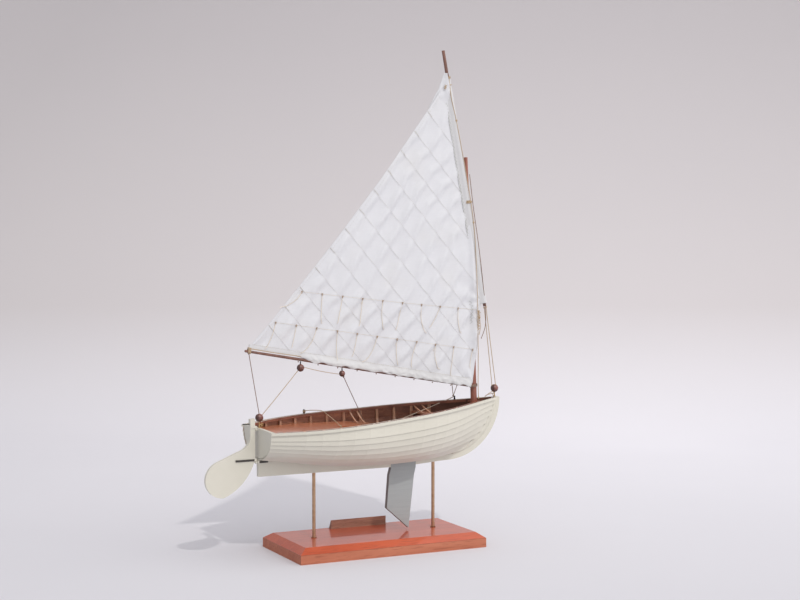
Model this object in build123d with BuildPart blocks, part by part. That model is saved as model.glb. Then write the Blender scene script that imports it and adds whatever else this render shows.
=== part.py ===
from build123d import *
import math
import os

# Clinker sailing dinghy, a display model with a standing lug sail on a two-rod plinth.
# Millimetres. Origin: centre of the plinth's underside, +X to the bow, +Y to port, +Z up.

# Plinth
plinth_length = 250.0
plinth_width = 125.0
plinth_height = 18.4
plinth_bevel = 10.0
plinth_edge = 11.5
rod_d = 4.2
rod_spacing = 164.0
rod_socket = 9.0
rod_in_keel = 3.0
collar_d = 6.8
collar_height = 1.0
plate_length = 76.0
plate_height = 11.0
plate_depth = 7.5
plate_inset = 10.0
plate_aft = 2.3
plate_ledge = 1.2

# Fits
seat_gap = 0.1
plank_gap = 0.08
loose_gap = 0.3

# Hull lines
transom_x = -155.4
keel_bottom = 99.2
keel_siding = 6.0
keel_toe_x = 20.0
stem_x = 100.0
stem_straight = 0.1
rabbet_reach = 69.0
forefoot_z = 111.0
stem_moulding = 7.7
stem_rise = 0.5
keel_rise = (30.0, 101.4)
sheer_mid = 166.8
sheer_slope = 0.0705
sheer_curve = 4.8e-5
strake_widths = (1.7, 1.65, 0.75, 0.78, 0.75, 0.7, 0.64, 1.03)
strake_count = len(strake_widths)
plank_t = 1.1
lap = 1.9
transom_t = 4.0

# Table of offsets: x at the rabbet, x at the sheer, half breadth, rabbet height, fullness
offsets = [
    (transom_x, transom_x, 47.0, 121.3, 2.05),
    (0.7593 * transom_x, 0.7593 * transom_x, 65.5, 116.4, 2.1),
    (0.5148 * transom_x, 0.5148 * transom_x, 74.5, 110.9, 2.2),
    (0.2574 * transom_x, 0.2574 * transom_x, 74.5, 108.0, 2.3),
    (0.0, 0.0, 67.0, 106.3, 2.35),
    (38.0, 40.0, 59.5, 106.6, 2.3),
    (66.0, 78.0, 48.0, 108.0, 2.2),
    (85.0, 112.0, 32.5, 109.6, 1.95),
    (95.0, 142.0, 16.5, 110.6, 1.6),
    (stem_x, stem_x + rabbet_reach, keel_siding / 2 + 0.4, forefoot_z, 1.35),
]
last_row = len(offsets) - 1

# Timbers
rib_siding = 3.0
rib_moulding = 2.2
rib_from_transom, rib_last = 13.8, 96.0
rib_count = 12
rail_width = 2.4
rail_height = 3.0
inwale_width = 2.2
inwale_height = 3.2
hog_width = 11.0
hog_height = 2.6
hog_lift = 0.9
thwart_t = 2.2
bench_drop = 15.5
fore_thwart_drop = 10.4
middle_thwart = (-8.0, 8.0)
fore_thwart = (74.0, 90.0)
well_aft = -42.0
well_half = 21.0
knee_t = 1.6
knee_siding = 1.8
knee_reach = 24.0
knee_xs = (-4.6, 4.4, 77.0, 86.6)
partner_drop = 4.5
partner_t = 2.2
partner_short = 6.0
step_t = 3.5
step_aft, step_fore = 10.0, 5.0

# Board and rudder
board_t = 6.4
board_fore, board_aft = 56.0, 21.5
board_top = 105.0
board_shoulder_z = 98.0
board_below_keel = [(53.4, 87.2), (45.9, 21.1), (15.8, 47.8), (19.1, 89.6)]
rudder_t = 6.0
rudder_tip_t = 4.2
rudder_taper_length = 55.0
rudder_hang = 2.2
rudder_neck = 6.0
rudder_neck_z = 145.0
rudder_top = 170.0
rudder_crown = 0.7
rudder_heel_z = 121.0
eye_r = 1.7
gudgeon_tops = (118.4, 158.0)
gudgeon_reach = (13.0, 1.0)
strap_reach = (26.0, 6.2)
pin_gap = 0.06
pintle_d = 1.6
strap_t = 0.8
strap_height = 2.4

# Rudder blade: distance abaft the rudder's fore edge and height, from the heel round to the neck
blade_belly, blade_toe = (12.9, 96.0), (39.9, 76.4)
blade_low, blade_tip = (57.6, 84.0), (62.2, 103.0)
blade_high, blade_shoulder = (57.6, 112.4), (48.9, 119.2)
blade_throat, blade_bend = (21.4, 130.4), (11.8, 135.6)

# Rig
mast_foot_z = 116.0
foot_lift = 26.0
mast_deck = (140.6, 180.4)
mast_top = (128.3, 487.7)
mast_d = 8.4
mast_top_d = 4.6
mast_fullness = 0.92
spar_sides = 20
yard_peak = (92.4, 620.2)
yard_heel = (152.7, 298.3)
yard_d = 5.0
yard_tip_d = 3.9
boom_aft = (-173.5, 252.3)
boom_fore = (135.5, 196.2)
boom_d = 4.2
boom_tip_d = 3.0
spar_side = 6.6
band_t = 1.0
band_height = 3.0
parrel_z = 431.0
parrel_bore_r = 3.9
sail_t = 0.6
leech_hollow = 6.4
head_drop, foot_start, foot_end = 9.0, 4.0, 1.0
peak = (95.3, 584.0)
bead_d = 10.2
boom_bead_d = (9.4, 7.8)
bead_sides = 12
bead_rings = (-75, -45, -15, 15, 45, 75)
bow_bead_fore, stern_bead_fore = 1.9, 2.4
bow_bead_lift, stern_bead_lift = 10.9, 12.4
boom_bead_x = (-101.9, -46.8)
eye_d = 1.4
eye_foot_d, eye_foot_t = 2.5, 1.0
hook_drop = 3.2
pin_x, downhaul_x = -62.5, 127.0
pin_height, eye_height = 5.0, 4.4
pin_d = 2.0
pin_foot_d, pin_foot_t = 2.6, 0.8

os.makedirs("parts", exist_ok=True)


def save(part, label):
    part.label = label
    export_step(part, "parts/" + label + ".step")


def fair(column, s):
    """Smooth value of one column of the table at the fractional row s."""
    rows = [row[column] for row in offsets]
    k = min(int(s), last_row - 1)
    t = s - k
    p1, p2 = rows[k], rows[k + 1]
    p0 = rows[k - 1] if k > 0 else 2 * p1 - p2
    p3 = rows[k + 2] if k + 2 <= last_row else 2 * p2 - p1
    return 0.5 * (2 * p1 + (p2 - p0) * t + (2 * p0 - 5 * p1 + 4 * p2 - p3) * t * t
                  + (3 * p1 - p0 - 3 * p2 + p3) * t ** 3)


def sheer_z(x):
    return sheer_mid + sheer_slope * x + sheer_curve * x * x


def knuckle(j, s):
    """Upper inner edge of strake j - 1 on the port side, at the fractional row s."""
    turn = math.pi / 2 * sum(strake_widths[:j]) / sum(strake_widths)
    x_low, x_high, half, z_low, full = (fair(c, s) for c in range(5))
    x = x_low + (x_high - x_low) * math.sin(turn)
    inner = keel_siding / 2 + plank_gap
    y = inner + (half - inner) * math.sin(turn) ** (2 / full)
    z = z_low + (sheer_z(x_high) - z_low) * (1 - math.cos(turn) ** (2 / full))
    return Vector(x, y, z)


def along(j, s):
    """Fore-and-aft direction of knuckle j at row s."""
    a, b = max(0.0, s - 0.1), min(float(last_row), s + 0.1)
    return (knuckle(j, b) - knuckle(j, a)).normalized()


def strake_sections(s):
    """Frame and corners of each strake's section at row s, garboard first."""
    foot = knuckle(0, s)
    result = []
    for j in range(strake_count):
        head = knuckle(j + 1, s)
        width = (head - foot).length
        up = (head - foot).normalized()
        out = up.cross(along(j + 1, s)).normalized()
        land = head + out * plank_t - up * lap
        corners = [(0, 0), (0, plank_t), (width - lap, plank_t), (width, plank_t), (width, 0)]
        next_foot = land + out * plank_gap
        if j + 1 < strake_count:
            rise = knuckle(j + 2, s) - next_foot
            across, outward = rise.dot(up), rise.dot(out)
            reach = lap / math.hypot(across, outward)
            corners[3] = (width - lap + across * reach, plank_t + outward * reach)
        result.append((Plane(origin=foot, x_dir=up, z_dir=up.cross(out)), corners, foot, head, up, out))
        foot = next_foot
    return result


def mirrored_pair(solid):
    return Compound(children=[solid, solid.mirror(Plane.XZ)])


# Plinth: slab with a wide bevel, sockets for the two rods
rod_x = [-rod_spacing / 2, rod_spacing / 2]
with BuildPart() as plinth:
    with BuildSketch():
        Rectangle(plinth_length, plinth_width)
    extrude(amount=plinth_edge)
    with BuildSketch(Plane.XY.offset(plinth_edge)):
        Rectangle(plinth_length, plinth_width)
    with BuildSketch(Plane.XY.offset(plinth_height)):
        Rectangle(plinth_length - 2 * plinth_bevel, plinth_width - 2 * plinth_bevel)
    loft()
    with Locations(*[(x, 0, plinth_height) for x in rod_x]):
        Cylinder(rod_d / 2 + seat_gap / 2, rod_socket + seat_gap, align=(Align.CENTER, Align.CENTER, Align.MAX),
                 mode=Mode.SUBTRACT)
save(plinth.part, "plinth")

# Nameplate: blank wedge on the plinth's port side, its slope outward
plate_y = plinth_width / 2 - plinth_bevel - plate_inset + plate_depth
with BuildPart() as nameplate:
    with BuildSketch(Plane.YZ.offset(-plate_aft)):
        with BuildLine():
            Polyline((plate_y - plate_depth, plinth_height), (plate_y, plinth_height),
                     (plate_y - plate_depth + plate_ledge, plinth_height + plate_height),
                     (plate_y - plate_depth, plinth_height + plate_height), close=True)
        make_face()
    extrude(amount=plate_length / 2, both=True)
save(nameplate.part, "nameplate")

# Rods and their collars
with BuildPart() as rods:
    with Locations(*[(x, 0, plinth_height - rod_socket) for x in rod_x]):
        Cylinder(rod_d / 2, keel_bottom + rod_in_keel - plinth_height + rod_socket,
                 align=(Align.CENTER, Align.CENTER, Align.MIN))
save(rods.part, "rods")
with BuildPart() as collars:
    with Locations(*[(x, 0, plinth_height) for x in rod_x]):
        Cylinder(collar_d / 2, collar_height, align=(Align.CENTER, Align.CENTER, Align.MIN))
        Cylinder(rod_d / 2 + seat_gap / 2, collar_height, align=(Align.CENTER, Align.CENTER, Align.MIN),
                 mode=Mode.SUBTRACT)
save(collars.part, "rod_collars")

# Keel, deadwood and stem in one profile, with a slot for the board and sockets for the rods
stem_centre_z = sheer_z(stem_x + rabbet_reach) - stem_straight
stem_reach, stem_depth = rabbet_reach + stem_moulding, stem_centre_z - forefoot_z + stem_moulding
stem_top = sheer_z(stem_x + rabbet_reach) + stem_rise
keel_rabbet = [(row[0], row[3]) for row in offsets]
with BuildPart() as keel:
    with BuildSketch(Plane.XZ):
        with BuildLine():
            toe = (stem_x, stem_centre_z - stem_depth)
            bow = (stem_x + stem_reach, stem_centre_z)
            waist = (stem_x + stem_reach * math.sin(math.radians(45)),
                     stem_centre_z - stem_depth * math.cos(math.radians(45)))
            inner = (stem_x + rabbet_reach, stem_centre_z)
            inner_waist = (stem_x + rabbet_reach * math.sin(math.radians(45)),
                           stem_centre_z - (stem_centre_z - forefoot_z) * math.cos(math.radians(45)))
            Line((transom_x, keel_bottom), (keel_toe_x, keel_bottom))
            Spline((keel_toe_x, keel_bottom), (stem_x - keel_rise[0], keel_rise[1]), toe, tangents=((1, 0), (1, 0.03)))
            ThreePointArc(toe, waist, bow)
            Line(bow, (bow[0], stem_top))
            Line((bow[0], stem_top), (inner[0], stem_top))
            Line((inner[0], stem_top), inner)
            ThreePointArc(inner, inner_waist, (stem_x, forefoot_z))
            Spline(*reversed(keel_rabbet))
            Line((transom_x, keel_rabbet[0][1]), (transom_x, keel_bottom))
        make_face()
    extrude(amount=keel_siding / 2, both=True)
    with BuildSketch(Plane.XZ):
        with Locations(((board_fore + board_aft) / 2, board_top)):
            Rectangle(board_fore - board_aft + 2 * seat_gap, 2 * (board_top - keel_bottom), align=(Align.CENTER, Align.MAX))
    extrude(amount=keel_siding, both=True, mode=Mode.SUBTRACT)
    with Locations(*[(x, 0, keel_bottom - rod_in_keel) for x in rod_x]):
        Cylinder(rod_d / 2 + seat_gap / 2, 2 * rod_in_keel + seat_gap, align=(Align.CENTER, Align.CENTER, Align.MIN),
                 mode=Mode.SUBTRACT)
save(keel.part, "keel_and_stem")

# Clinker planking: each strake laps over the bevelled upper edge of the one below
section_rows = [r / 2 for r in range(2 * last_row + 1)]
all_sections = [strake_sections(s) for s in section_rows]
for j in range(strake_count):
    with BuildPart() as strake:
        for row in all_sections:
            plane, corners = row[j][0], row[j][1]
            with BuildSketch(plane):
                with BuildLine():
                    Polyline(*corners, close=True)
                make_face()
        loft(ruled=True)
    save(mirrored_pair(strake.part.solid()), "strake_%d" % (j + 1))


def station_row(j, x):
    """Row at which knuckle j crosses the upright plane at x."""
    low, high = 0.0, float(last_row)
    for _ in range(40):
        mid = (low + high) / 2
        if knuckle(j, mid).X < x:
            low = mid
        else:
            high = mid
    return (low + high) / 2


def frame_points(x):
    """Inner knuckle points (y, z) of the planking in the upright plane at x, keel first."""
    reached = [j for j in range(strake_count + 1) if knuckle(j, last_row).X > x]
    points = [knuckle(j, station_row(j, x)) for j in reached]
    return [(p.Y, p.Z) for p in points]


def inset(points, distance):
    """Points moved inboard at right angles to the polyline."""
    moved = []
    for k, (y, z) in enumerate(points):
        a, b = points[max(0, k - 1)], points[min(len(points) - 1, k + 1)]
        size = math.hypot(b[0] - a[0], b[1] - a[1])
        moved.append((y - distance * (b[1] - a[1]) / size, z + distance * (b[0] - a[0]) / size))
    return moved


def half_breadth(x, z, clear=0.0):
    """Half breadth inside the planking at x and height z."""
    points = inset(frame_points(x), clear)
    if z < points[0][1]:
        return points[0][0]
    for (y0, z0), (y1, z1) in zip(points, points[1:]):
        if z0 <= z <= z1:
            return y0 + (y1 - y0) * (z - z0) / (z1 - z0)
    return points[-1][0]


# Transom inside the planking's after ends
arch = sheer_z(transom_x) + 1.0
with BuildPart() as transom:
    for x in (transom_x, transom_x + transom_t):
        outline = inset(frame_points(x), 1.5 * loose_gap)
        with BuildSketch(Plane.YZ.offset(x)):
            with BuildLine():
                Polyline(*outline)
                Polyline(*[(-y, z) for y, z in outline])
                Line(outline[0], (-outline[0][0], outline[0][1]))
                ThreePointArc(outline[-1], (0, arch), (-outline[-1][0], outline[-1][1]))
            make_face()
    loft(ruled=True)
save(transom.part, "transom")

# Hog over the keel
with BuildPart() as hog:
    with BuildSketch(Plane.XZ):
        with BuildLine():
            hog_line = [(x, z + loose_gap + hog_lift) for x, z in keel_rabbet if x < fore_thwart[1]]
            hog_line[0] = (transom_x + transom_t + loose_gap, hog_line[0][1])
            low = Spline(*hog_line)
            high = Spline(*[(x, z + hog_height) for x, z in hog_line])
            Line(hog_line[0], (hog_line[0][0], hog_line[0][1] + hog_height))
            Line(hog_line[-1], (hog_line[-1][0], hog_line[-1][1] + hog_height))
        make_face()
    extrude(amount=hog_width / 2, both=True)
save(hog.part, "hog")

# Steamed ribs, from the hog up to the rails
rib_first = transom_x + rib_from_transom
rib_pairs = []
for k in range(rib_count):
    x = rib_first + k * (rib_last - rib_first) / (rib_count - 1)
    with BuildPart() as rib:
        for face_x in (x - rib_siding / 2, x + rib_siding / 2):
            frame = frame_points(face_x)
            outer, innermost = inset(frame, loose_gap), inset(frame, loose_gap + rib_moulding)
            outer[0] = innermost[0] = (hog_width / 2 + loose_gap, (outer[0][1] + outer[1][1]) / 2)
            innermost[0] = (innermost[0][0], innermost[0][1] + rib_moulding)
            with BuildSketch(Plane.YZ.offset(face_x)):
                with BuildLine():
                    Polyline(*outer, *reversed(innermost), close=True)
                make_face()
        loft(ruled=True)
    rib_pairs += [rib.part.solid(), rib.part.solid().mirror(Plane.XZ)]
save(Compound(children=rib_pairs), "ribs")


def rail(inner, outer, height, first, last):
    """Port rail along the sheer strake; inner and outer are measured outward from its inner face."""
    with BuildPart() as piece:
        for s in [first, *[row for row in section_rows if first < row < last], last]:
            foot, head, up, out = strake_sections(s)[-1][2:]
            with BuildSketch(Plane(origin=head, x_dir=out, z_dir=out.cross(up))):
                with BuildLine():
                    Polyline((inner, 0), (outer, 0), (outer, -height), (inner, -height), close=True)
                make_face()
        loft(ruled=True)
    return piece.part.solid()


rub_in = plank_t + seat_gap
save(mirrored_pair(rail(rub_in, rub_in + rail_width, rail_height, 0.0, last_row)), "rub_rails")
inwale_out = -(3 * loose_gap + rib_moulding)
inwale_ends = [station_row(strake_count, x) for x in (transom_x + transom_t + 1.0, mast_deck[0] - 2.0)]
save(mirrored_pair(rail(inwale_out - inwale_width, inwale_out, inwale_height, *inwale_ends)), "inwales")

bench_top = sheer_mid - bench_drop
fore_thwart_top = sheer_z((fore_thwart[0] + fore_thwart[1]) / 2) - fore_thwart_drop


# Thwarts and stern sheets fitted between the ribs
def seat_sketch(x0, x1, z):
    clear = 2 * loose_gap + rib_moulding
    steps = [x0 + (x1 - x0) * k / 4 for k in range(5)]
    side = [(x, half_breadth(x, z, clear)) for x in steps]
    with BuildSketch(mode=Mode.PRIVATE) as sketch:
        with BuildLine():
            Polyline(*side, *[(x, -y) for x, y in reversed(side)], close=True)
        make_face()
    return sketch.sketch


sheets_ends = (transom_x + transom_t + loose_gap, middle_thwart[0] - loose_gap)
with BuildPart() as sheets:
    with BuildSketch(Plane.XY.offset(bench_top - thwart_t)):
        add(seat_sketch(*sheets_ends, bench_top - thwart_t))
        with Locations((well_aft, 0)):
            Rectangle(sheets_ends[1] - well_aft, 2 * well_half, align=(Align.MIN, Align.CENTER), mode=Mode.SUBTRACT)
    extrude(amount=thwart_t)
save(sheets.part, "stern_sheets")
for (x0, x1), top, label in ((middle_thwart, bench_top, "middle_thwart"), (fore_thwart, fore_thwart_top, "fore_thwart")):
    with BuildPart() as thwart:
        with BuildSketch(Plane.XY.offset(top - thwart_t)):
            add(seat_sketch(x0, x1, top - thwart_t))
        extrude(amount=thwart_t)
    save(thwart.part, label)

# Knees: bent strips from the inner rails down to the thwarts
knee_pairs = []
for x in knee_xs:
    top = bench_top if x < fore_thwart[0] else fore_thwart_top
    head_z = sheer_z(x) - inwale_height - loose_gap
    head_y = half_breadth(x, head_z, 3 * loose_gap + rib_moulding)
    drop = head_z - top - seat_gap
    foot = (head_y - knee_reach, top + seat_gap)
    bend = (head_y - 0.32 * knee_reach, foot[1] + 0.46 * drop)
    with BuildPart() as knee:
        with BuildSketch(Plane.YZ.offset(x - knee_siding / 2)):
            with BuildLine():
                ThreePointArc((head_y, head_z), bend, foot)
                Line(foot, (foot[0] - 2 * knee_t, foot[1]))
                ThreePointArc((foot[0] - 2 * knee_t, foot[1]), (bend[0] - 0.8 * knee_t, bend[1] + 0.8 * knee_t),
                              (head_y - knee_t, head_z))
                Line((head_y - knee_t, head_z), (head_y, head_z))
            make_face()
        extrude(amount=knee_siding)
    knee_pairs += [knee.part.solid(), knee.part.solid().mirror(Plane.XZ)]
save(Compound(children=knee_pairs), "thwart_knees")

# Mast, raked aft, stepped on the stem
rake = math.atan2(mast_deck[0] - mast_top[0], mast_top[1] - mast_deck[1])
mast_dir = Vector(-math.sin(rake), 0, math.cos(rake))
mast_foot = Vector(mast_deck[0] + (mast_deck[1] - mast_foot_z) * math.tan(rake), 0, mast_foot_z)
mast_foot_plane = Plane(origin=mast_foot, x_dir=(math.cos(rake), 0, math.sin(rake)), z_dir=mast_dir)
mast_length = (mast_top[1] - mast_foot_z) / math.cos(rake)


def spar(foot, head, side, foot_d, mid_d, head_d):
    """Many-sided spar with two tapers, from (x, z) foot to (x, z) head in the plane y = side."""
    start = Vector(foot[0], side, foot[1])
    run = Vector(head[0], side, head[1]) - start
    with BuildPart() as piece:
        for share, d in ((0, foot_d), (0.5, mid_d), (1, head_d)):
            with BuildSketch(Plane(origin=start + run * share, x_dir=(0, 1, 0), z_dir=run)):
                RegularPolygon(d / 2, spar_sides)
        loft(ruled=True)
    return piece.part


step_point = mast_foot + mast_dir * foot_lift
save(spar((step_point.X, step_point.Z), mast_top, 0, mast_d, mast_d * mast_fullness, mast_top_d), "mast")

# Mast partner: a short foredeck between the sheer strakes, bored for the mast
partner_z = sheer_z(mast_deck[0]) - partner_drop
with BuildPart() as partner:
    with BuildSketch(Plane.XY.offset(partner_z)):
        with BuildLine():
            xs = [mast_deck[0] + (stem_x + rabbet_reach - partner_short - mast_deck[0]) * k / 3 for k in range(4)]
            ring = [(x, half_breadth(x, partner_z + partner_t / 2, loose_gap)) for x in xs]
            Polyline(*ring, *[(x, -y) for x, y in reversed(ring)], close=True)
        make_face()
    extrude(amount=partner_t)
    with BuildSketch(mast_foot_plane):
        Circle(mast_d / 2 + seat_gap)
    extrude(amount=mast_length / 2, mode=Mode.SUBTRACT)
save(partner.part, "mast_partner")

# Mast step: a chock between the forward strakes
step_top = mast_foot_z + foot_lift * math.cos(rake) - mast_d / 2 * math.sin(rake) - seat_gap
with BuildPart() as step:
    with BuildSketch(Plane.XY.offset(step_top - step_t)):
        with BuildLine():
            step_xs = (step_point.X - step_aft, step_point.X - step_aft / 2, step_point.X, step_point.X + step_fore)
            ring = [(x, half_breadth(x, step_top - step_t, loose_gap)) for x in step_xs]
            Polyline(*ring, *[(x, -y) for x, y in reversed(ring)], close=True)
        make_face()
    extrude(amount=step_t)
save(step.part, "mast_step")


def lashing(z, offset, spar_r, mast_r):
    """Band round the mast and a spar beside it, square to the mast."""
    centre = mast_foot + mast_dir * ((z - mast_foot_z) / math.cos(rake))
    with BuildPart() as piece:
        with BuildSketch(Plane(origin=centre, x_dir=(math.cos(rake), 0, math.sin(rake)), z_dir=mast_dir)):
            for grow, mode in ((band_t, Mode.ADD), (0, Mode.SUBTRACT)):
                with BuildSketch(mode=Mode.PRIVATE) as ring:
                    Circle(mast_r + grow)
                    with Locations((offset, -spar_side)):
                        Circle(spar_r + grow)
                    make_hull()
                add(ring.sketch, mode=mode)
        extrude(amount=band_height / 2, both=True)
    return piece.part


save(spar(yard_heel, yard_peak, -spar_side, yard_d * 0.85, yard_d, yard_tip_d), "yard")
save(spar(boom_aft, boom_fore, -spar_side, boom_tip_d, boom_d, boom_tip_d), "boom")

# Sail: thin panel between yard, boom, luff and leech
yard_dir = (Vector(yard_peak[0], 0, yard_peak[1]) - Vector(yard_heel[0], 0, yard_heel[1])).normalized()
yard_aft = Vector(-yard_dir.Z, 0, yard_dir.X)
head_gap = yard_d / 2 + loose_gap
head_low = Vector(yard_heel[0], 0, yard_heel[1]) + yard_aft * head_gap + yard_dir * head_drop
head_high = Vector(peak[0], 0, peak[1]) + yard_aft * head_gap
boom_dir = (Vector(boom_fore[0], 0, boom_fore[1]) - Vector(boom_aft[0], 0, boom_aft[1])).normalized()
boom_up = Vector(-boom_dir.Z, 0, boom_dir.X)
foot_gap = boom_d / 2 + loose_gap
foot_aft = Vector(boom_aft[0], 0, boom_aft[1]) + boom_up * foot_gap + boom_dir * foot_start
foot_fore = Vector(boom_fore[0], 0, boom_fore[1]) + boom_up * foot_gap - boom_dir * foot_end
with BuildPart() as sail:
    with BuildSketch(Plane.XZ.offset(spar_side - sail_t / 2)):
        with BuildLine():
            Line((head_low.X, head_low.Z), (head_high.X, head_high.Z))
            Line((foot_fore.X, foot_fore.Z), (head_low.X, head_low.Z))
            Line((foot_aft.X, foot_aft.Z), (foot_fore.X, foot_fore.Z))
            leech = (head_high - foot_aft).normalized()
            middle = (head_high + foot_aft) * 0.5 + Vector(leech.Z, 0, -leech.X) * leech_hollow
            ThreePointArc((head_high.X, head_high.Z), (middle.X, middle.Z), (foot_aft.X, foot_aft.Z))
        make_face()
    extrude(amount=sail_t)
    notch = mast_foot + mast_dir * ((parrel_z - mast_foot_z) / math.cos(rake))
    with Locations((notch.X, -spar_side, notch.Z)):
        Box(yard_d + 2 * band_t + 6 * loose_gap, yard_d, band_height + 2 * band_t, mode=Mode.SUBTRACT)
save(sail.part, "sail")

# Parrel on the yard and collar on the boom, both turning on the mast
yard_at_parrel = yard_heel[0] + (parrel_z - yard_heel[1]) * yard_dir.X / yard_dir.Z
save(lashing(parrel_z, yard_at_parrel - notch.X, yard_d / 2 + loose_gap, parrel_bore_r), "parrel")
boom_end = mast_foot + mast_dir * ((boom_fore[1] - mast_foot_z) / math.cos(rake))
with BuildPart() as collar:
    with BuildSketch(Plane(origin=boom_end, x_dir=(math.cos(rake), 0, math.sin(rake)), z_dir=mast_dir)):
        with BuildSketch(mode=Mode.PRIVATE) as ear:
            Circle(mast_d / 2 + loose_gap + band_t)
            with Locations((boom_fore[0] + loose_gap + boom_tip_d / 2 - boom_end.X, -spar_side)):
                Circle(boom_tip_d / 2)
            make_hull()
        add(ear.sketch)
        Circle(mast_d / 2 + loose_gap, mode=Mode.SUBTRACT)
    extrude(amount=band_height / 2, both=True)
save(collar.part, "boom_collar")

# Centreboard, lowered, set in the keel's slot
with BuildPart() as board:
    with BuildSketch(Plane.XZ):
        with BuildLine():
            Polyline((board_aft, board_top - seat_gap), (board_fore, board_top - seat_gap),
                     (board_fore, board_shoulder_z), *board_below_keel, (board_aft, board_shoulder_z), close=True)
        make_face()
    extrude(amount=board_t / 2, both=True)
save(board.part, "centreboard")

# Rudder
rudder_axis_x = transom_x - rudder_hang
front = rudder_axis_x - eye_r - loose_gap
neck = front - rudder_neck


def abaft(point):
    return (front - point[0], point[1])


with BuildPart() as rudder:
    with BuildSketch(Plane.XZ):
        with BuildLine():
            heel = (front, rudder_heel_z)
            Polyline((neck, rudder_neck_z), (neck, rudder_top - rudder_crown), (front, rudder_top), heel)
            ThreePointArc(heel, abaft(blade_belly), abaft(blade_toe))
            ThreePointArc(abaft(blade_toe), abaft(blade_low), abaft(blade_tip))
            ThreePointArc(abaft(blade_tip), abaft(blade_high), abaft(blade_shoulder))
            Line(abaft(blade_shoulder), abaft(blade_throat))
            ThreePointArc(abaft(blade_throat), abaft(blade_bend), (neck, rudder_neck_z))
        make_face()
    extrude(amount=rudder_t / 2, both=True)
    slope = (rudder_t - rudder_tip_t) / 2 / rudder_taper_length
    for side in (1, -1):
        face = Plane(origin=(neck, side * rudder_t / 2, 0), x_dir=(0, 0, 1), z_dir=(-slope, side, 0))
        split(bisect_by=face, keep=Keep.BOTTOM)
save(rudder.part, "rudder")

# Gudgeons on the boat, pintle straps on the rudder, pins down through the gudgeons
with BuildPart() as gudgeons:
    for top, reach in zip(gudgeon_tops, gudgeon_reach):
        half = keel_siding / 2 + seat_gap
        with BuildSketch(Plane.XY.offset(top - strap_height)):
            with Locations((rudder_axis_x, 0)):
                Circle(eye_r)
            with Locations((rudder_axis_x, 0)):
                Rectangle(transom_x - seat_gap - rudder_axis_x, 2 * eye_r, align=(Align.MIN, Align.CENTER))
            with Locations((transom_x - seat_gap, 0)):
                Rectangle(strap_t, 2 * (half + strap_t), align=(Align.MAX, Align.CENTER))
            if reach > strap_t * 2:
                for side in (1, -1):
                    with Locations((transom_x - seat_gap - strap_t, side * (half + strap_t / 2))):
                        Rectangle(reach, strap_t, align=(Align.MIN, Align.CENTER))
            with Locations((rudder_axis_x, 0)):
                Circle(pintle_d / 2 + pin_gap, mode=Mode.SUBTRACT)
        extrude(amount=strap_height)
save(gudgeons.part, "gudgeons")
with BuildPart() as pintles:
    for top, reach in zip(gudgeon_tops, strap_reach):
        half = rudder_t / 2 + seat_gap
        with BuildSketch(Plane.XY.offset(top + loose_gap)):
            with Locations((rudder_axis_x, 0)):
                Circle(eye_r)
            with Locations((front + seat_gap, 0)):
                Rectangle(rudder_axis_x - front, 2 * eye_r, align=(Align.MIN, Align.CENTER))
            with Locations((front + seat_gap, 0)):
                Rectangle(strap_t, 2 * (half + strap_t), align=(Align.MIN, Align.CENTER))
            for side in (1, -1):
                with Locations((front + seat_gap + strap_t, side * (half + strap_t / 2))):
                    Rectangle(reach, strap_t, align=(Align.MAX, Align.CENTER))
        extrude(amount=strap_height)
        with Locations((rudder_axis_x, 0, top + 2 * loose_gap)):
            Cylinder(pintle_d / 2, strap_height + pintle_d, align=(Align.CENTER, Align.CENTER, Align.MAX))
save(pintles.part, "pintles")

# Bead blocks: stem head and transom beads on brass eyes, boom beads on hooks
def turned_bead(d, centre):
    with BuildPart() as piece:
        for degrees in bead_rings:
            turn = math.radians(degrees)
            with BuildSketch(Plane(origin=(centre[0], centre[1], centre[2] + d / 2 * math.sin(turn)))):
                RegularPolygon(d / 2 * math.cos(turn), bead_sides)
        loft(ruled=True)
    return piece.part


end_bead_feet = ((stem_x + rabbet_reach + bow_bead_fore, stem_top, bow_bead_lift),
                 (transom_x + stern_bead_fore, arch, stern_bead_lift))
end_beads = [turned_bead(bead_d, (x, 0, foot + lift)) for x, foot, lift in end_bead_feet]
save(Compound(children=[bead.solid() for bead in end_beads]), "end_beads")
with BuildPart() as eyes:
    for x, foot, lift in end_bead_feet:
        with Locations((x, 0, foot + seat_gap)):
            Cylinder(eye_d / 2, lift - bead_d / 2 - seat_gap, align=(Align.CENTER, Align.CENTER, Align.MIN))
            Cylinder(eye_foot_d / 2, eye_foot_t, align=(Align.CENTER, Align.CENTER, Align.MIN))
save(eyes.part, "bead_eyes")
boom_bead_list, hooks = [], []
for x, d in zip(boom_bead_x, boom_bead_d):
    hook_top = boom_aft[1] + (x - boom_aft[0]) * boom_dir.Z / boom_dir.X - boom_d / 2 - seat_gap
    boom_bead_list.append(turned_bead(d, (x, -spar_side, hook_top - hook_drop - d / 2)).solid())
    with BuildPart() as hook:
        with Locations((x, -spar_side, hook_top)):
            Cylinder(eye_d / 2, hook_drop, align=(Align.CENTER, Align.CENTER, Align.MAX))
    hooks.append(hook.part.solid())
save(Compound(children=boom_bead_list), "boom_beads")
save(Compound(children=hooks), "boom_hooks")

# Belaying pin and downhaul eye on the port rail
with BuildPart() as rail_pins:
    for x, height in ((pin_x, pin_height), (downhaul_x, eye_height)):
        top = knuckle(strake_count, station_row(strake_count, x))
        with Locations((x, top.Y + rub_in + rail_width / 2, top.Z + seat_gap)):
            Cylinder(pin_d / 2, height, align=(Align.CENTER, Align.CENTER, Align.MIN))
            Cylinder(pin_foot_d / 2, pin_foot_t, align=(Align.CENTER, Align.CENTER, Align.MIN))
save(rail_pins.part, "rail_pins")
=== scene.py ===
import math

import bmesh
import bpy
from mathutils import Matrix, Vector, bvhtree, noise


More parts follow.
